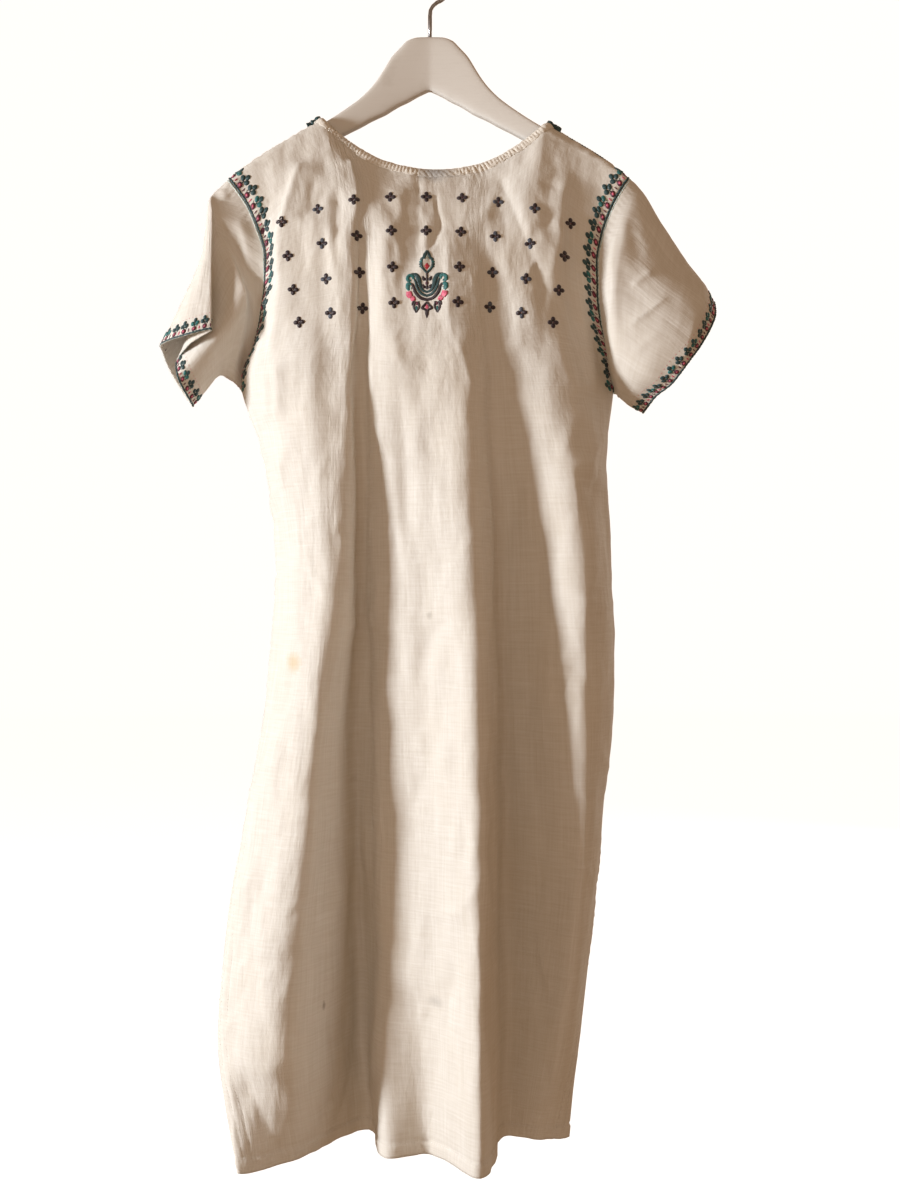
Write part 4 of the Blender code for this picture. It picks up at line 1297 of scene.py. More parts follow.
class SharedEffects:
    """The effects that more than one material uses, each one group."""

    def __init__(self) -> None:
        """Build the groups once."""
        self.weave = self.build_weave()
        self.spot = self.build_spot()
        self.twist = self.build_twist()

    @staticmethod
    def build_weave() -> bpy.types.NodeTree:
        """Handwoven plain weave: fine threads, thick slubs both ways and soft mottling."""
        group, tools, start, end = node_group(
            "handwoven cotton",
            (("Vector", "NodeSocketVector", None), ("Threads", "NodeSocketFloat", 1400.0),
             ("Slubs", "NodeSocketFloat", 0.5)),
            ("Tone", "Height", "Mottle"))
        cloth = start.outputs["Vector"]
        parts = tools.add("ShaderNodeSeparateXYZ", Vector=cloth)
        weave = []
        for axis in ("X", "Y"):
            turns = tools.times(parts.outputs[axis], start.outputs["Threads"])
            weave.append(tools.math("SINE", tools.times(turns, 2 * math.pi)))
        threads = tools.times(weave[0], weave[1])
        weft = tools.tone(cloth, (28.0, 620.0, 1.0), 3.0)
        warp = tools.tone(cloth, (520.0, 16.0, 1.0), 3.0)
        streaks = tools.plus(tools.times(weft, 0.5), tools.times(warp, 0.5))
        thick = [tools.ranged(tools.tone(cloth, scale), 0.60, 0.74)
                 for scale in ((16.0, 340.0, 1.0), (300.0, 9.0, 1.0))]
        slubs = tools.times(tools.plus(thick[0], thick[1]), start.outputs["Slubs"])
        raised = tools.plus(streaks, tools.times(slubs, 0.6))
        tools.fill(end, Tone=tools.plus(streaks, tools.times(slubs, 0.22)),
                   Height=tools.plus(tools.times(threads, 0.12), raised),
                   Mottle=tools.tone(cloth, (9.0, 7.0, 1.0), 4.0))
        return group

    @staticmethod
    def build_spot() -> bpy.types.NodeTree:
        """A soft uneven spot round a place, for stains, marks and the painted shade under the binding."""
        group, tools, start, end = node_group(
            "soft spot",
            (("Vector", "NodeSocketVector", None), ("Place", "NodeSocketVector", None),
             ("Stretch", "NodeSocketVector", None), ("Size", "NodeSocketFloat", 0.006)),
            ("Mask",))
        point = start.outputs["Vector"]
        away = tools.vector("SUBTRACT", point, start.outputs["Place"]).outputs[0]
        flat = tools.vector("MULTIPLY", away, start.outputs["Stretch"]).outputs[0]
        length = tools.add("ShaderNodeVectorMath", {"operation": "LENGTH"})
        tools.feed(length.inputs[0], flat)
        rough = tools.tone(point, (260.0, 260.0, 260.0))
        wide = tools.times(start.outputs["Size"], tools.plus(rough, 0.6))
        share = tools.math("DIVIDE", length.outputs["Value"], wide)
        tools.fill(end, Mask=tools.ranged(share, 0.3, 1.2, 1.0, 0.0))
        return group

    @staticmethod
    def build_twist() -> bpy.types.NodeTree:
        """Satin-stitched thread: fine strands with uneven light and height."""
        group, tools, start, end = node_group(
            "thread strands",
            (("Vector", "NodeSocketVector", None), ("Strands", "NodeSocketFloat", 1500.0)),
            ("Tone", "Height"))
        point = start.outputs["Vector"]
        parts = tools.add("ShaderNodeSeparateXYZ", Vector=point)
        slant = tools.plus(parts.outputs["X"], tools.times(parts.outputs["Z"], 0.55))
        turns = tools.times(slant, start.outputs["Strands"])
        strand = tools.math("SINE", tools.times(turns, 2 * math.pi))
        uneven = tools.tone(point, (420.0, 420.0, 420.0))
        tools.fill(end, Tone=uneven, Height=tools.plus(tools.times(strand, 0.5), uneven))
        return group


@dataclass(frozen=True)
class Spot:
    """A stain or mark on the cloth, or the painted shade under the binding, by its place, its size in
    millimetres and its colour.

    Stretch squeezes it: a larger number makes it narrower along that axis.
    """

    name: str
    place: tuple
    size: float
    stretch: tuple
    colour: tuple
    strength: float


STAINS = (
    Spot("yellow stain", (-133, -45, -695), 7.5, (1, 0.2, 0.8), (0.66, 0.50, 0.26), 0.55),
    Spot("grey spot on the crest", (0, -45, -649), 3.0, (1, 0.2, 0.8), (0.40, 0.37, 0.33), 0.40),
    Spot("grey spot by the fold", (-77, -20, -815), 4.5, (1, 0.1, 1), (0.36, 0.31, 0.26), 0.45),
    Spot("grey smear low", (6, -30, -1027), 5.5, (0.7, 0.2, 1), (0.40, 0.38, 0.36), 0.35),
    Spot("short dark mark", (-105, -20, -1036), 2.2, (1.6, 0.1, 0.5), (0.20, 0.16, 0.12), 0.60),
    Spot("dot on the right", (126, -5, -863), 1.5, (1, 0.1, 1), (0.22, 0.20, 0.18), 0.55),
)
BINDING_SHADE = Spot("shade under the binding", (6, -16, -214), 19.0, (1, 0.3, 2.0),
                     (0.30, 0.30, 0.31), 0.72)


@dataclass(frozen=True)
class CottonFinish:
    """Thin cream cotton, handwoven, washed and worn."""

    name: str
    light: tuple = (0.85, 0.83, 0.79)
    deep: tuple = (0.715, 0.68, 0.615)
    warm: tuple = (0.82, 0.755, 0.64)
    slubs: float = 0.5
    roughness: float = 0.88
    bump: float = 0.55
    spots: tuple = ()

    def build(self, effects: SharedEffects) -> Material:
        """Make the material.

        Args:
            effects: The shared groups.

        Returns:
            The material, reading the UV map "cloth" and Object coordinates.
        """
        made, tools, shader = principled(self.name)
        cloth = tools.add("ShaderNodeUVMap", {"uv_map": "cloth"}).outputs["UV"]
        place = tools.add("ShaderNodeTexCoord").outputs["Object"]
        weave = tools.add("ShaderNodeGroup", {"node_tree": effects.weave}, Vector=cloth,
                          Slubs=self.slubs)
        colour = tools.mixed(tools.ranged(weave.outputs["Tone"], 0.32, 0.72), self.deep, self.light)
        mottle = tools.ranged(weave.outputs["Mottle"], 0.45, 0.75, 0.0, 0.30)
        colour = tools.mixed(mottle, colour, self.warm)
        for spot in self.spots:
            mask = tools.add("ShaderNodeGroup", {"node_tree": effects.spot, "label": spot.name},
                             Vector=place, Size=spot.size * MM, Stretch=spot.stretch,
                             Place=tuple(value * MM for value in spot.place))
            share = tools.times(mask.outputs["Mask"], spot.strength)
            colour = tools.mixed(share, colour, spot.colour)
        wear = tools.bump(tools.tone(cloth, (64.0, 30.0, 1.0), 4.0), 0.6, 2.4)
        relief = tools.bump(weave.outputs["Height"], self.bump, 0.25, Normal=wear)
        tools.fill(shader, Base_Color=colour, Roughness=self.roughness, Specular_IOR_Level=0.25,
                   Sheen_Weight=0.12, Sheen_Roughness=0.45, Normal=relief)
        return made


@dataclass(frozen=True)
class ThreadFinish:
    """Soft stranded cotton thread, slightly glossy along its strands."""

    thread: Thread

    def build(self, effects: SharedEffects) -> Material:
        """Make the material of one thread."""
        made, tools, shader = principled("thread " + self.thread.name.lower().replace("_", " "))
        place = tools.add("ShaderNodeTexCoord").outputs["Object"]
        twist = tools.add("ShaderNodeGroup", {"node_tree": effects.twist}, Vector=place)
        lit = tuple(min(1.0, value * 1.7 + 0.006) for value in self.thread.value)
        dim = tuple(value * 0.65 for value in self.thread.value)
        colour = tools.mixed(tools.ranged(twist.outputs["Tone"], 0.3, 0.7), dim, lit)
        tools.fill(shader, Base_Color=colour, Roughness=0.46, Sheen_Weight=0.25,
                   Normal=tools.bump(twist.outputs["Height"], 0.5, 0.12))
        return made


@dataclass(frozen=True)
class PaintedWoodFinish:
    """White satin paint over wood, with faint grain and grey rubs."""

    name: str = "white painted wood"
    paint: tuple = (0.78, 0.76, 0.72)
    rubbed: tuple = (0.60, 0.56, 0.50)

    def build(self) -> Material:
        """Make the material."""
        made, tools, shader = principled(self.name)
        place = tools.add("ShaderNodeTexCoord").outputs["Object"]
        grain = tools.tone(place, (22.0, 260.0, 420.0), 4.0)
        rubs = tools.tone(place, (34.0, 34.0, 34.0), 5.0)
        colour = tools.mixed(tools.ranged(rubs, 0.56, 0.78, 0.0, 0.45), self.paint, self.rubbed)
        colour = tools.mixed(tools.ranged(grain, 0.5, 0.8, 0.0, 0.16), colour, self.rubbed)
        tools.fill(shader, Base_Color=colour, Roughness=tools.ranged(rubs, 0.3, 0.7, 0.34, 0.52),
                   Normal=tools.bump(grain, 0.25, 0.2))
        return made


@dataclass(frozen=True)
class WireFinish:
    """Drawn steel wire with fine marks along it."""

    name: str = "bright wire"
    steel: tuple = (0.50, 0.50, 0.52)

    def build(self) -> Material:
        """Make the material."""
        made, tools, shader = principled(self.name)
        place = tools.add("ShaderNodeTexCoord").outputs["Object"]
        marks = tools.tone(place, (900.0, 900.0, 140.0), 3.0)
        dark = tuple(value * 0.7 for value in self.steel)
        tools.fill(shader, Base_Color=tools.mixed(marks, dark, self.steel), Metallic=1.0,
                   Roughness=tools.ranged(marks, 0.3, 0.7, 0.22, 0.38))
        return made


def principled(name: str) -> tuple:
    """Start a material with its Principled shader.

    Args:
        name: The material's name.

    Returns:
        The material, tools for its tree, and the shader.
    """
    made = bpy.data.materials.new(name)
    made.use_nodes = True
    return made, NodeTools(made.node_tree), made.node_tree.nodes["Principled BSDF"]


# Embroidery and stitches

class Needle:
    """Draws raised stitches flat, in one mesh, and lays them on the cloth."""

    def __init__(self, name: str, materials: dict) -> None:
        """Start an empty piece of needlework.

        Args:
            name: Name of the finished piece.
            materials: The material of each thread.
        """
        self.name = name
        self.materials = materials
        self.mesh = bmesh.new()
        self.threads: list[Thread] = []

    def slot(self, thread: Thread) -> int:
        """Index of a thread's material on the piece."""
        if thread not in self.threads:
            self.threads.append(thread)
        return self.threads.index(thread)

    def dye(self, verts: list, thread: Thread) -> None:
        """Give the faces of some vertices their thread."""
        index = self.slot(thread)
        for face in {face for vert in verts for face in vert.link_faces}:
            face.material_index = index

    def pad(self, thread: Thread, run: float, way: float, long: float, wide: float, turn: float = 0.0,
            high: float = 0.7, top: float = 0.45, sides: int = 10, base: float = -0.15) -> None:
        """Stitch a low oval pad.

        Args:
            thread: Its colour.
            run: Its middle along the ground.
            way: Its middle the other way.
            long: Its length before it is turned.
            wide: Its width.
            turn: Degrees from the "run" direction to its length.
            high: Height above the cloth.
            top: Share of its size at the top.
            sides: Corners of its outline.
            base: Height of its foot, a little inside the cloth.
        """
        made = bmesh.ops.create_cone(self.mesh, cap_ends=True, segments=sides, radius1=0.5,
                                     radius2=0.5 * top, depth=1.0)["verts"]
        shape = (Matrix.Translation((run, way, (high + base) / 2))
                 @ Matrix.Rotation(math.radians(turn), 4, "Z")
                 @ Matrix.Diagonal((long, wide, high - base, 1.0)))
        bmesh.ops.transform(self.mesh, matrix=shape, verts=made)
        self.dye(made, thread)

    def line(self, thread: Thread, path: Points, wide: float, high: float = 0.8,
             chain_step: float = 0.0, base: float = -0.2, shape: tuple = (1.0,)) -> None:
        """Stitch a raised line along a path, plain or as a chain.

        Args:
            thread: Its colour.
            path: Points (run, way) of its middle.
            wide: Its width.
            high: Height above the cloth.
            chain_step: Length of one chain stitch, or 0 for a plain line.
            base: Height of its foot.
            shape: Shares of the width from its start to its end.
        """
        path = np.asarray(path, float)
        count = len(path)
        ahead = np.gradient(path, axis=0)
        ahead /= np.maximum(np.linalg.norm(ahead, axis=1), 1e-9)[:, None]
        across = np.column_stack([-ahead[:, 1], ahead[:, 0]])
        reach = np.concatenate(([0.0], np.cumsum(np.linalg.norm(np.diff(path, axis=0), axis=1))))
        swell = np.interp(reach / reach[-1], np.linspace(0.0, 1.0, len(shape)), shape)
        if chain_step:
            swell = swell * (0.62 + 0.38 * np.abs(np.sin(math.pi * reach / chain_step)))
        corners = 6
        made = bmesh.ops.create_grid(self.mesh, x_segments=corners, y_segments=count - 1,
                                     size=1.0)["verts"]
        ends = []
        for vert, corner, row in grid_steps(made, corners, count - 1):
            turn = corner / corners * 2 * math.pi
            side = across[row] * math.cos(turn) * wide / 2 * swell[row]
            lift = base + (high - base) * (0.5 + 0.5 * math.sin(turn)) * min(1.0, swell[row])
            vert.co = (path[row, 0] + side[0], path[row, 1] + side[1], lift)
            if row in (0, count - 1):
                ends.append(vert)
        self.dye(made, thread)
        bmesh.ops.remove_doubles(self.mesh, verts=made, dist=0.0005)
        rims = {edge for vert in ends if vert.is_valid for edge in vert.link_edges if edge.is_boundary}
        filled = bmesh.ops.holes_fill(self.mesh, edges=list(rims), sides=0)["faces"]
        for face in filled:
            face.material_index = self.slot(thread)

    def finish(self, ground: Ground) -> None:
        """Lay what was drawn since the last call onto a ground."""
        fresh = [vert for vert in self.mesh.verts if not vert.tag]
        flat = np.array([tuple(vert.co) for vert in fresh])
        for vert, place in zip(fresh, ground.lay(flat)):
            vert.co = Vector(place) * MM
            vert.tag = True

    def make(self) -> Piece:
        """Turn the needlework into a piece."""
        bmesh.ops.recalc_face_normals(self.mesh, faces=self.mesh.faces)
        piece = finished(self.name, self.mesh)
        for thread in self.threads:
            piece.data.materials.append(self.materials[thread])
        return piece


@dataclass
class BorderPattern:
    """The border beside armholes and cuffs: a chain line, rings, bars and trefoils."""

    pitch: float = 12.6
    line_wide: float = 3.2
    ring_way: float = 5.2
    ring: float = 6.6
    bar: float = 4.8
    stem_way: float = 9.0
    leaf_way: float = 11.8
    leaf_gap: float = 3.1
    tip_way: float = 15.8
    leaf: float = 6.6

    def line_path(self, start: float, end: float, way: float, step: float = 0.8) -> Points:
        """A straight path along a band."""
        run = np.linspace(start, end, max(2, int((end - start) / step)))
        return np.column_stack([run, np.full(len(run), way)])

    def stitch(self, needle: Needle, band: EdgeBand) -> None:
        """Stitch the border along a whole band.

        Args:
            needle: Where it is drawn.
            band: The band it is laid on.
        """
        needle.line(Thread.DEEP_TEAL, self.line_path(0.3, band.length - 0.3, 0.9), self.line_wide,
                    1.1, chain_step=3.4)
        count = max(2, round(band.length / self.pitch))
        pitch = band.length / count
        for index in range(count):
            middle = (index + 0.5) * pitch
            lean = 0.5 * math.sin(index * 2.4)
            needle.pad(Thread.MAROON, middle, self.ring_way, self.ring, self.ring, high=0.6, top=0.85)
            needle.pad(Thread.PINK, middle, self.ring_way, self.ring * 0.46, self.ring * 0.46,
                       high=0.8, top=0.85, sides=8)
            needle.pad(Thread.PINK if index % 2 else Thread.MAROON, middle + pitch / 2, self.ring_way,
                       self.bar, 1.5, 90.0, high=0.5, top=0.8, sides=6)
            needle.pad(Thread.DEEP_TEAL, middle + pitch / 4, self.ring_way + 2.4, 2.8, 0.9, 60.0, 0.45,
                       sides=6)
            self.trefoil(needle, middle + lean, index)
        needle.finish(band)

    def trefoil(self, needle: Needle, run: float, index: int) -> None:
        """Stitch one trefoil on its stem."""
        thread = Thread.DEEP_TEAL if index % 3 else Thread.TEAL
        needle.pad(Thread.DEEP_TEAL, run, self.stem_way, 4.4, 1.3, 90.0, 0.6, top=0.7, sides=6)
        for side in (-1, 1):
            needle.pad(thread, run + side * self.leaf_gap, self.leaf_way, self.leaf, self.leaf * 0.82,
                       90.0 - side * 40.0, 0.8, top=0.8)
        needle.pad(Thread.DEEP_TEAL, run, self.tip_way, self.leaf, self.leaf * 0.82, 90.0, 0.8, top=0.8)


@dataclass
class FlowerScatter:
    """Small four-petalled flowers in arched rows over the upper back."""

    centre: float = -3.0
    row_ups: tuple = (-241.0, -278.0, -314.5, -349.0)
    row_steps: tuple = (35.0, 33.4, 32.0, 30.6)
    row_sag: float = 27.0
    sides: int = 4
    petal_long: float = 5.2
    petal_wide: float = 4.6
    petal_out: float = 3.1
    # Columns whose petals get the painted sheen
    lit_columns: tuple = (-3, 2, 3)

    def places(self) -> list:
        """Middles of the flowers, (across, up), without the ones the motif takes."""
        found = []
        for row, (up, step) in enumerate(zip(self.row_ups, self.row_steps)):
            flat = 1.0 - 0.12 * row
            for column in range(-self.sides, self.sides + 1):
                if column == 0 and row >= 2:
                    continue
                outer = abs(column) / self.sides
                found.append((self.centre + column * step,
                              up - self.row_sag * flat * outer**2.2, column, row))
        return found

    def stitch(self, needle: Needle, ground: Ground) -> None:
        """Stitch every flower."""
        for across, up, column, row in self.places():
            turn = 5.0 * math.sin(column * 1.7 + row * 2.9)
            for petal in range(4):
                angle = math.radians(90.0 * petal + turn)
                # In the lit columns every other petal takes the slate-blue colour: a painted sheen on the
                # plum thread
                lit = column in self.lit_columns and (petal + row) % 2 == 0
                thread = Thread.SLATE if lit else Thread.PLUM
                needle.pad(thread, across + self.petal_out * math.cos(angle),
                           up + self.petal_out * math.sin(angle), self.petal_long, self.petal_wide,
                           90.0 * petal + turn, 0.7, 0.8, 10)
            needle.pad(Thread.MAROON, across, up, 1.4, 1.4, 0.0, 0.85, 0.7, 6)
        needle.finish(ground)


@dataclass(frozen=True)
class Stroke:
    """A satin stroke of the figure, drawn from its tip's own middle line."""

    name: str
    thread: Thread
    points: tuple
    wide: float
    shape: tuple = (0.45, 1.0, 0.45)
    mirrored: bool = True
    high: float = 0.75


# Strokes of the figure: across and down from its tip
FIGURE = (
    Stroke("tip's edge", Thread.DEEP_TEAL, ((0.2, 0.4), (1.7, -3.6), (3.4, -8.6)), 2.7, (0.5, 1.0, 0.9)),
    Stroke("tip's inside", Thread.PALE_TEAL_AND_EDGE_HIGHLIGHT, ((0, -4), (0, -10)), 2.0, mirrored=False, high=0.5),
    Stroke("first tooth", Thread.DEEP_TEAL, ((3.8, -8.0), (6.8, -9.4)), 2.4, (1.0, 0.9, 0.5)),
    Stroke("second tooth", Thread.TEAL, ((4.8, -11.0), (7.6, -12.0)), 2.2, (1.0, 0.9, 0.5)),
    Stroke("third tooth", Thread.DEEP_TEAL, ((5.0, -13.6), (7.8, -14.4)), 2.2, (1.0, 0.9, 0.5)),
    Stroke("fourth tooth", Thread.DEEP_TEAL, ((4.8, -16.2), (7.4, -16.6)), 2.2, (1.0, 0.9, 0.5)),
    Stroke("leaf's side", Thread.DEEP_TEAL,
           ((4.4, -8.4), (5.4, -12.4), (5.0, -16.8), (2.6, -20.2), (0.0, -23.0)), 2.0, (0.8, 1.0, 0.9)),
    Stroke("red diamond", Thread.RED, ((0, -12.6), (0, -16.0), (0, -19.6)), 4.2, (0.2, 1.0, 0.2), False),
    Stroke("stem", Thread.PLUM, ((0, -21.6), (0, -30), (0, -39.6)), 1.5, (1.0, 1.0), False),
    Stroke("first stem leaf", Thread.PLUM, ((0.4, -29.0), (2.8, -29.4), (4.4, -26.2)), 2.8),
    Stroke("second stem leaf", Thread.PLUM, ((0.4, -37.0), (2.8, -37.2), (4.4, -34.4)), 2.8),
    Stroke("stem bud", Thread.MAROON, ((0, -31.4), (0, -35.2)), 3.0, mirrored=False),
    Stroke("inner crescent", Thread.DEEP_TEAL,
           ((-0.5, -42.2), (3.6, -40.6), (6.8, -35.0), (8.2, -29.4), (10.4, -25.4), (15.8, -23.4)),
           3.6, (0.5, 0.65, 0.9, 1.1, 1.0, 0.3)),
    Stroke("middle crescent", Thread.DEEP_TEAL,
           ((-0.5, -46.1), (5.2, -43.8), (9.6, -37.6), (11.4, -31.6), (13.2, -27.8)),
           2.3, (0.9, 1.0, 1.0, 0.6)),
    Stroke("outer crescent", Thread.PLUM,
           ((-0.5, -50.0), (6.2, -48.0), (11.6, -41.8), (13.6, -36.0), (15.4, -33.8)),
           2.6, (0.9, 1.0, 1.0, 0.7)),
    Stroke("wing's curl", Thread.TEAL,
           ((13.4, -29.2), (14.2, -26.2), (17.0, -25.4), (19.0, -28.0), (18.0, -31.0), (15.8, -30.4)),
           2.9, (0.7, 1.0, 1.0, 1.0, 0.6)),
    Stroke("wing's lobe", Thread.TEAL, ((15.4, -34.0), (18.2, -34.4), (18.8, -37.6), (17.6, -40.6)),
           3.4, (0.6, 1.0, 1.0, 0.5)),
    Stroke("wing's pale gap", Thread.PALE_TEAL_AND_EDGE_HIGHLIGHT, ((15.2, -36.6), (16.2, -40.0)), 1.9, high=0.5),
    Stroke("upper pink", Thread.PINK, ((17.8, -41.4), (17.4, -44.2), (15.8, -47.0)), 5.2, (0.8, 1.0, 0.8)),
    Stroke("lower pink", Thread.PINK, ((14.8, -47.0), (12.2, -50.8)), 4.4, (0.9, 1.0, 0.7), high=0.65),
    Stroke("red on the pink", Thread.RED, ((13.0, -48.0), (11.6, -50.6)), 2.2),
    Stroke("side drop, outside", Thread.PLUM, ((11.4, -51.6), (12.8, -56.4), (10.6, -62.6)), 2.0,
           (0.8, 1.0, 0.5)),
    Stroke("side drop, inside", Thread.PLUM, ((8.4, -51.4), (7.8, -56.8), (10.4, -62.4)), 2.0,
           (0.8, 1.0, 0.5)),
    Stroke("side drop's green", Thread.TEAL, ((10.2, -55.8), (10.3, -60.0)), 2.0, high=0.55),
    Stroke("side drop's red", Thread.MAROON, ((9.6, -51.6), (9.9, -55.2)), 2.6, high=0.6),
    Stroke("side barb", Thread.PLUM, ((12.0, -51.0), (13.4, -52.2), (14.8, -55.2)), 2.0, (1.0, 1.0, 0.4)),
    Stroke("middle drop's edge", Thread.PLUM,
           ((0.0, -52.2), (2.6, -55.2), (4.8, -58.2), (2.2, -59.4), (0.2, -61.0)), 2.0, (0.9, 1.0, 0.9)),
    Stroke("middle drop's pink", Thread.PINK, ((0, -54.6), (0, -59.0)), 3.2, (0.4, 1.0, 0.6), False, 0.6),
    Stroke("middle drop's point", Thread.PLUM, ((0, -59.6), (0, -63.0), (0, -68.4)), 3.6,
           (0.9, 0.8, 0.15), False),
)


@dataclass
class CentreMotif:
    """The traditional flower-in-crescent figure at the middle of the upper back."""

    across: float = -2.0
    top: float = -299.0
    size: float = 0.97
    fat: float = 1.22

    def draw(self, needle: Needle, stroke: Stroke, side: int) -> None:
        """Stitch one stroke on one side of the middle line.

        Args:
            needle: Where it is drawn.
            stroke: The stroke.
            side: 1 as it is given, -1 mirrored.
        """
        flat = np.array([(side * x, z, 0.0) for x, z in stroke.points])
        aimed = np.concatenate((flat[:1] * 2 - flat[1:2], flat, flat[-1:] * 2 - flat[-2:-1]))
        smooth = chain(aimed, np.linspace(0.0, len(flat) - 1.0, 7 * len(flat)))[:, :2]
        path = np.array([self.across, self.top]) + smooth * self.size
        needle.line(stroke.thread, path, stroke.wide * self.fat, stroke.high, shape=stroke.shape)

    def stitch(self, needle: Needle, ground: Ground) -> None:
        """Stitch the whole figure."""
        for stroke in FIGURE:
            for side in (1, -1) if stroke.mirrored else (1,):
                self.draw(needle, stroke, side)
        needle.finish(ground)


class Embroidery:
    """Everything worked in coloured thread."""

    border_deep = 22.0
    seam_deep = 10.0
    shoulder_deep = 12.0
    neck_deep = 34.0
    neck_line = 11.0
    cuff_dash = 4.0

    def __init__(self, back: Panel, front: Panel, sleeves: dict, materials: dict) -> None:
        """Take the cloth that is embroidered."""
        self.back = back
        self.front = front
        self.sleeves = sleeves
        self.materials = materials
        self.plan = PlanGround(back.grid)

    def armhole_band(self, panel: Panel, hand: Hand) -> EdgeBand:
        """The band of a panel beside one armhole, from the armpit up."""
        lines = panel.side_lines(hand, panel.heights >= 1.0)
        return EdgeBand(lines[:, :46], self.border_deep, panel.inner_point())

    def cuff_band(self, sleeve: Sleeve) -> EdgeBand:
        """The band of a sleeve along its hem."""
        lines = sleeve.grid.transpose(1, 0, 2)[:, ::-1][:, :40]
        return EdgeBand(lines, self.border_deep, sleeve.inner_point(), closed=True)

    def seam_band(self, sleeve: Sleeve) -> EdgeBand:
        """The band of a sleeve along the armhole's seam."""
        lines = sleeve.grid.transpose(1, 0, 2)[:, :30]
        return EdgeBand(lines, self.seam_deep, sleeve.inner_point(), closed=True)

    def armholes(self, hand: Hand) -> Piece:
        """Work the border of one armhole on the back and the front."""
        needle = Needle(f"{hand.name.lower()}_armhole_embroidery", self.materials)
        pattern = BorderPattern()
        for panel in (self.back, self.front):
            pattern.stitch(needle, self.armhole_band(panel, hand))
        # A pale teal line on the sleeve's side of the seam: a painted highlight on the seam's edge
        band = self.seam_band(self.sleeves[hand])
        path = pattern.line_path(0.0, band.length, 1.2)
        needle.line(Thread.PALE_TEAL_AND_EDGE_HIGHLIGHT, path, 1.3, 0.6, chain_step=2.6)
        needle.finish(band)
        return needle.make()

    def cuff(self, hand: Hand) -> Piece:
        """Work the border of one cuff."""
        needle = Needle(f"{hand.name.lower()}_cuff_embroidery", self.materials)
        band = self.cuff_band(self.sleeves[hand])
        pattern = BorderPattern(pitch=11.2, line_wide=2.8, ring_way=4.7, ring=5.4, bar=4.2,
                                stem_way=7.7, leaf_way=9.9, leaf_gap=2.5, tip_way=13.0, leaf=5.2)
        pattern.stitch(needle, band)
        # A pale teal line at the very edge of the cuff: a painted highlight on the hem's edge
        needle.line(Thread.PALE_TEAL_AND_EDGE_HIGHLIGHT, pattern.line_path(0.0, band.length, -0.1), 1.0, 0.5)
        needle.finish(band)
        for index in range(int(band.length / self.cuff_dash)):
            needle.pad(Thread.PINK, index * self.cuff_dash, 16.8, 2.2, 0.5, 0.0, 0.25, sides=4)
        needle.finish(band)
        return needle.make()

    def flowers(self) -> Piece:
        """Work the scattered flowers."""
        needle = Needle("flower_embroidery", self.materials)
        FlowerScatter().stitch(needle, self.plan)
        return needle.make()

    def motif(self) -> Piece:
        """Work the figure in the middle."""
        needle = Needle("centre_embroidery", self.materials)
        CentreMotif().stitch(needle, self.plan)
        return needle.make()

    def front_neck(self) -> Piece:
        """Work the border beside the front's neckline and its shoulder lines."""
        needle = Needle("front_neck_embroidery", self.materials)
        panel = self.front
        first, last = (int(np.argmin(np.abs(panel.places - fold))) for fold in panel.neck_folds)
        lines = panel.grid.transpose(1, 0, 2)[:, ::-1]
        neck = EdgeBand(lines[first:last + 1, :40], self.neck_deep, panel.inner_point())
        pattern = BorderPattern()
        shifted = BorderPattern(ring_way=15.0, stem_way=18.4, leaf_way=21.6, tip_way=25.2)
        needle.line(Thread.DEEP_TEAL, pattern.line_path(2.0, neck.length - 2.0, self.neck_line), 2.2,
                    0.9, chain_step=3.4)
        count = round(neck.length / shifted.pitch)
        for index in range(count):
            middle = (index + 0.5) * neck.length / count
            needle.pad(Thread.MAROON, middle, shifted.ring_way, 4.6, 4.6, high=0.55)
            needle.pad(Thread.PINK, middle, shifted.ring_way, 2.3, 2.3, high=0.75, sides=8)
            shifted.trefoil(needle, middle, index)
        needle.finish(neck)
        for start, end, outer in ((0, first, -1), (last, len(lines) - 1, 1)):
            shoulder = EdgeBand(lines[start:end + 1, :30], self.shoulder_deep, panel.inner_point())
            neck_end = shoulder.length if outer < 0 else 0.0
            if outer > 0:
                path = pattern.line_path(0.5, shoulder.length - 22.0, 0.4)
                needle.line(Thread.DEEP_TEAL, path, 1.6, 1.2, chain_step=3.0)
            for step in range(3):
                run = abs(neck_end - 3.0 - 5.6 * step)
                needle.pad(Thread.DEEP_TEAL, run, 1.4, 7.6, 5.0, 16.0 * step, 4.9, 0.75)
                needle.pad(Thread.TEAL if step % 2 else Thread.PLUM, run + 1.6, 4.6, 4.2, 3.4, 0.0, 2.2)
            needle.finish(shoulder)
        return needle.make()


class Stitching:
    """The sewing thread that shows on the hem and beside the slits."""

    hem_row = 13.0
    end_gap = 2.0
    slit_height = 0.44

    def __init__(self, materials: dict) -> None:
        """Take the material of each thread."""
        self.materials = materials

    @staticmethod
    def run_stitches(needle: Needle, start: float, end: float, way: float, step: float = 3.0) -> None:
        """Sew a straight row of stitches in a band's flat."""
        for index in range(int((end - start) / step)):
            needle.pad(Thread.CREAM, start + index * step, way, 2.2, 0.55, 0.0, 0.22, 0.5, 5,
                       base=-0.1)

    def panel(self, panel: Panel) -> Piece:
        """Sew one panel's hem and the lines beside its slits."""
        needle = Needle(f"{panel.side.name.lower()}_stitching", self.materials)
        hem = EdgeBand(panel.grid.transpose(1, 0, 2)[:, :14], 18.0, panel.inner_point())
        self.run_stitches(needle, self.end_gap, hem.length - self.end_gap, self.hem_row)
        needle.finish(hem)
        for hand in Hand:
            lines = panel.side_lines(hand, panel.heights <= self.slit_height)
            side = EdgeBand(lines[:, :24], 24.0, panel.inner_point())
            for way in SEWN.slit_rows:
                self.run_stitches(needle, SEWN.hem, side.length - self.end_gap, way, 3.2)
            needle.finish(side)
        return needle.make()


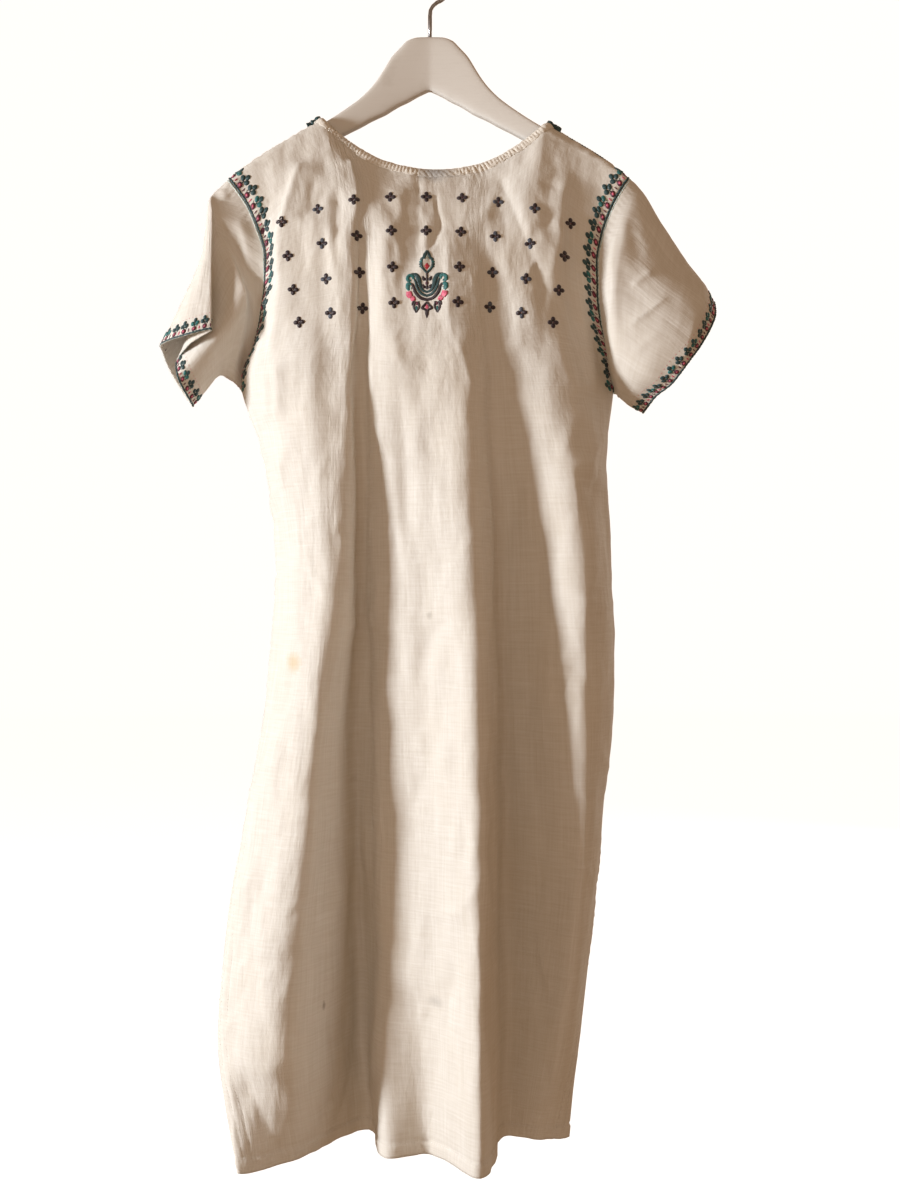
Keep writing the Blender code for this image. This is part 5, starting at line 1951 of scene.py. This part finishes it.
class NeckBinding:
    """The bias strip that binds half of the neckline, with its tight puckers."""

    def __init__(self, panel: Panel, wide: float = 9.2, steps: int = 9) -> None:
        """March the strip over the panel from the neckline's edge.

        Args:
            panel: The panel it is sewn to.
            wide: How far it reaches down the cloth.
            steps: Rows of points across it.
        """
        self.panel = panel
        tree = grid_tree(panel.grid)
        first, last = (float(place) for place in panel.neck_folds)
        fine = np.linspace(first, last, 900)
        length = run_length(panel.top_edge(fine))
        spread = np.linspace(0.0, length[-1], 400 if panel.side is Side.BACK else 460)
        places = np.interp(spread, length, fine)
        edge = panel.row(2.0, places)
        ahead = np.gradient(edge, axis=0)
        seams = panel.row(2.0, [first - 0.15, first, last, last + 0.15])
        middle = Vector(((NECK_LEFT + NECK_RIGHT) / 2, 0.0, -150.0))
        outers = [Vector(seams[0] - seams[1]).normalized(), Vector(seams[3] - seams[2]).normalized()]
        columns = []
        for index, (start, tangent) in enumerate(zip(edge, ahead)):
            point = Vector(start)
            near = min(spread[index], length[-1] - spread[index])
            outer = outers[0] if index < len(edge) / 2 else outers[1]
            mix = max(0.0, 1.0 - near / 9.0)
            pucker = self.pucker(spread[index], length[-1])
            column = []
            for step in range(steps):
                place, normal, _, _ = tree.find_nearest(point)
                if normal.y * panel.sign < 0:
                    normal = -normal
                across = step / (steps - 1)
                roll = math.sin(math.pi * min(1.0, across * 1.15)) ** 0.6
                lift = 0.35 + 1.0 * roll + pucker * math.sin(math.pi * across) + 0.5 * mix
                column.append(place + normal * lift)
                inward = Vector(tangent).cross(normal).normalized()
                if inward.dot(place - middle) < 0:
                    inward = -inward
                inward = (inward * (1.0 - mix) + outer * mix).normalized()
                point = place + inward * (wide / (steps - 1))
            columns.append(column)
        self.grid = np.array(columns).transpose(1, 0, 2)
        over = self.grid[:1].copy()
        over[0, :, 1] = panel.row(2.0, places)[:, 1] - panel.sign * 0.9
        over[0, :, 2] += 0.5
        self.grid = np.concatenate((over, self.grid))

    def pucker(self, run: float, length: float) -> float:
        """Height of the pucker at a length along the strip; the middle is smooth at the back."""
        uneven = noise.noise(Vector((run / 18.0, 3.3 * self.panel.sign, 0.0)))
        height = 0.34 * (1.0 + 0.8 * uneven) * math.sin(2 * math.pi * (run / 3.5 + 0.6 * uneven))
        if self.panel.side is Side.BACK and abs(run - length * 0.52) < 17.0:
            height *= 0.12
        return height

    def build(self, name: str) -> Piece:
        """Make the strip, with its wall and its UV map."""
        piece = sheet_mesh(name, self.grid, flip=self.panel.side is Side.BACK)
        thicken(piece, 0.5)
        return piece


@dataclass
class Hanger:
    """The curved wooden hanger and its wire hook.

    The stem is (across, up) points of the wire, and the bow is where it starts and ends
    round the hook, in degrees. The last two rings of the wire shrink to a rounded end.
    """

    wire: float = 2.0
    wire_corners: int = 12
    wire_end: tuple = (0.85, 0.55)
    hook_radius: float = 20.0
    foot_deep: float = 4.0
    stem: tuple = ((0.0, -60.0), (0.0, -50.0), (0.6, -44.5), (3.0, -40.2), (7.0, -36.6))
    bow: tuple = (-58.0, 198.0)
    bow_rings: int = 49
    corners: int = 28
    rings: int = 150
    tip_start: float = 192.0
    tip_gap: float = 0.4
    tip_rings: tuple = (4.0, 2.0, 0.8)
    flat_across: float = 0.36
    flat_up: float = 0.42

    def wood(self) -> Piece:
        """Bend a grid round the hanger's section, from one tip to the other."""
        table = np.asarray(WOOD_EDGES, float)
        reach = ARM_REACH - self.tip_gap
        across = np.linspace(-reach, reach, self.rings)
        tips = reach - np.array(self.tip_rings)
        across = np.unique(np.concatenate((across, tips, -tips)))
        tops = through(table[:, 0], table[:, 1], np.abs(across))
        lows = through(table[:, 0], table[:, 2], np.abs(across))
        near_end = np.clip((np.abs(across) - self.tip_start) / (ARM_REACH - self.tip_start), 0.0, 1.0)
        full = np.sqrt(np.maximum(1.0 - near_end**2, 0.03))
        angles = np.linspace(0.0, 2 * math.pi, self.corners, endpoint=False)
        wide = np.sign(np.cos(angles)) * np.abs(np.cos(angles)) ** self.flat_across
        tall = np.sign(np.sin(angles)) * np.abs(np.sin(angles)) ** self.flat_up
        rows = []
        for x, top, low, round_off in zip(across, tops, lows, full):
            ring = np.column_stack([
                np.full(self.corners, x), hanger_away(x) + WOOD_HALF * round_off * wide,
                (top + low) / 2 + (top - low) / 2 * round_off * tall])
            rows.append(ring)
        return close_ends(sheet_mesh("painted_hanger_wood", np.array(rows), around=True))

    def hook(self) -> Piece:
        """Sweep the wire through the hook's path, with a rounded free end."""
        foot = (0.0, WOOD_EDGES[0][1] - self.foot_deep)
        bow = np.radians(np.linspace(*self.bow, self.bow_rings))
        circle = np.column_stack([np.cos(bow), np.sin(bow)]) * self.hook_radius
        path = np.concatenate(([foot], self.stem, circle + (0.0, self.wire - self.hook_radius)))
        ahead = np.gradient(path, axis=0)
        ahead /= np.linalg.norm(ahead, axis=1)[:, None]
        radius = np.full((len(path), 1), self.wire)
        radius[-len(self.wire_end):, 0] *= self.wire_end
        angles = np.linspace(0.0, 2 * math.pi, self.wire_corners, endpoint=False)
        side = radius * np.cos(angles)
        rings = np.stack([path[:, :1] - ahead[:, 1:] * side, radius * np.sin(angles),
                          path[:, 1:] + ahead[:, :1] * side], axis=2)
        return close_ends(sheet_mesh("wire_hook", rings, around=True))


@dataclass(frozen=True)
class Lamp:
    """A square soft light that faces the tunic, in metres and watts."""

    name: str
    place: tuple
    size: float
    power: float
    colour: tuple


LAMPS = (
    Lamp("key", (-2.56, -1.04, -0.5), 0.45, 81.0, (0.955, 0.98, 1.0)),
    Lamp("front", (-0.6, -3.2, -0.2), 1.6, 10.0, (1.0, 0.88, 0.76)),
    Lamp("rear", (2.2, 2.6, -0.3), 1.6, 26.0, (1.0, 0.95, 0.88)),
)


@dataclass
class Studio:
    """The camera, the soft light from the left and the pale surroundings, in metres."""

    camera_place: tuple = (0.02, -1.7, -0.634)
    lens: float = 51.0
    lit_place: tuple = (0.0, 0.0, -0.62)
    floor: float = -1.32
    reach: float = 9.0
    shade: tuple = (1.0, 0.64, 0.39, 1.0)
    shade_strength: float = 0.30
    white: tuple = (0.60, 0.60, 0.60, 1.0)
    glow: tuple = (1.0, 0.99, 0.975, 1.0)
    glow_strength: float = 0.9

    def build(self) -> None:
        """Set the camera, the lights and the stage."""
        scene = bpy.context.scene
        scene.view_settings.view_transform = "Standard"
        camera = bpy.data.cameras.new("camera")
        camera.lens = self.lens
        camera.sensor_width = 36.0
        holder = bpy.data.objects.new("camera", camera)
        holder.location = self.camera_place
        holder.rotation_euler = (math.pi / 2, 0.0, 0.0)
        scene.collection.objects.link(holder)
        scene.camera = holder
        for lamp in LAMPS:
            self.hang(lamp)
        scene.world = bpy.data.worlds.new("room")
        scene.world.use_nodes = True
        background = scene.world.node_tree.nodes["Background"]
        background.inputs["Color"].default_value = self.shade
        background.inputs["Strength"].default_value = self.shade_strength
        self.stage()

    def hang(self, lamp: Lamp) -> None:
        """Hang one lamp.

        Args:
            lamp: Its place, size and light.
        """
        light = bpy.data.lights.new(lamp.name, "AREA")
        light.size = lamp.size
        light.energy = lamp.power
        light.color = lamp.colour
        holder = bpy.data.objects.new(lamp.name, light)
        holder.location = lamp.place
        aim = Vector(self.lit_place) - Vector(lamp.place)
        holder.rotation_euler = aim.to_track_quat("-Z", "Y").to_euler()
        bpy.context.scene.collection.objects.link(holder)

    def stage(self) -> None:
        """Make the pale surroundings as one wide shell with a flat floor."""
        mesh = bmesh.new()
        bmesh.ops.create_icosphere(mesh, subdivisions=4, radius=self.reach)
        for vert in mesh.verts:
            vert.co.z = max(vert.co.z, self.floor)
        surroundings = finished("surroundings", mesh)
        made, tools, shader = principled("pale studio")
        tools.fill(shader, Base_Color=self.white, Roughness=0.95, Emission_Color=self.glow,
                   Emission_Strength=self.glow_strength)
        surroundings.data.materials.append(made)
        surroundings.visible_diffuse = False
        surroundings.visible_glossy = False
        surroundings.visible_shadow = False


def place(piece: Piece, slot: str, *nodes: str) -> Piece:
    """Ride a piece on the body and hide what it stands for.

    Args:
        piece: The new piece.
        slot: Not used.
        nodes: CAD nodes that it replaces.

    Returns:
        The same piece.
    """
    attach(piece, BODY)
    if nodes:
        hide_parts(*nodes)
    log.info("%s: %d faces", piece.name, len(piece.data.polygons))
    return piece


def spread_all(lots: tuple) -> tuple:
    """Join several lots of wrinkles."""
    return tuple(crease for lot in lots for crease in lot.spread())


def main() -> None:
    """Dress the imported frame."""
    logging.basicConfig(level=logging.INFO, format="%(message)s")
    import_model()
    Studio().build()
    effects = SharedEffects()
    cotton = CottonFinish("cream cotton", spots=STAINS + (BINDING_SHADE,)).build(effects)
    plain_cotton = CottonFinish("cream cotton, sleeves").build(effects)
    bias = CottonFinish("bias cotton", light=(0.88, 0.845, 0.78), deep=(0.79, 0.74, 0.66), slubs=0.3,
                        spots=(BINDING_SHADE,)).build(effects)
    threads = {thread: ThreadFinish(thread).build(effects) for thread in Thread}
    back = Panel(Side.BACK, BACK_FOLDS, FRONT_FOLDS, BACK_CREASES + spread_all(BACK_WRINKLES), 3.0)
    front = Panel(Side.FRONT, FRONT_FOLDS, BACK_FOLDS, FRONT_CREASES + spread_all(FRONT_WRINKLES), 73.0)
    sleeves = {
        Hand.LEFT: Sleeve(Hand.LEFT, LEFT_SLEEVE, back, front, LEFT_SLEEVE_CREASES),
        Hand.RIGHT: Sleeve(Hand.RIGHT, RIGHT_SLEEVE, back, front, RIGHT_SLEEVE_CREASES),
    }
    embroidery = Embroidery(back, front, sleeves, threads)
    stitching = Stitching(threads)
    armholes = {hand: place(embroidery.armholes(hand), "cotton") for hand in Hand}
    flowers = place(embroidery.flowers(), "cotton")
    motif = place(embroidery.motif(), "cotton")
    front_neck = place(embroidery.front_neck(), "cotton")
    for side, panel in ((Side.BACK, back), (Side.FRONT, front)):
        name = side.name.lower()
        cloth = place(panel.build(f"{name}_cloth"), "cotton", f"{name}_panel")
        cloth.data.materials.append(cotton)
        sewn = place(stitching.panel(panel), "cotton")
        strip = place(NeckBinding(panel).build(f"{name}_neck_binding"), "bias_strip",
                           f"neck_strip_{name}")
        strip.data.materials.append(bias)
    for hand, sleeve in sleeves.items():
        name = hand.name.lower()
        cloth = place(sleeve.build(f"{name}_sleeve_cloth"), "cotton", f"{name}_sleeve")
        cloth.data.materials.append(plain_cotton)
        cuff = place(embroidery.cuff(hand), "cotton")
    hanger = Hanger()
    wood = place(hanger.wood(), "painted_wood", "hanger_wood")
    wood.data.materials.append(PaintedWoodFinish().build())
    hook = place(hanger.hook(), "wire", "hanger_hook")
    hook.data.materials.append(WireFinish().build())


if __name__ == "__main__":
    main()
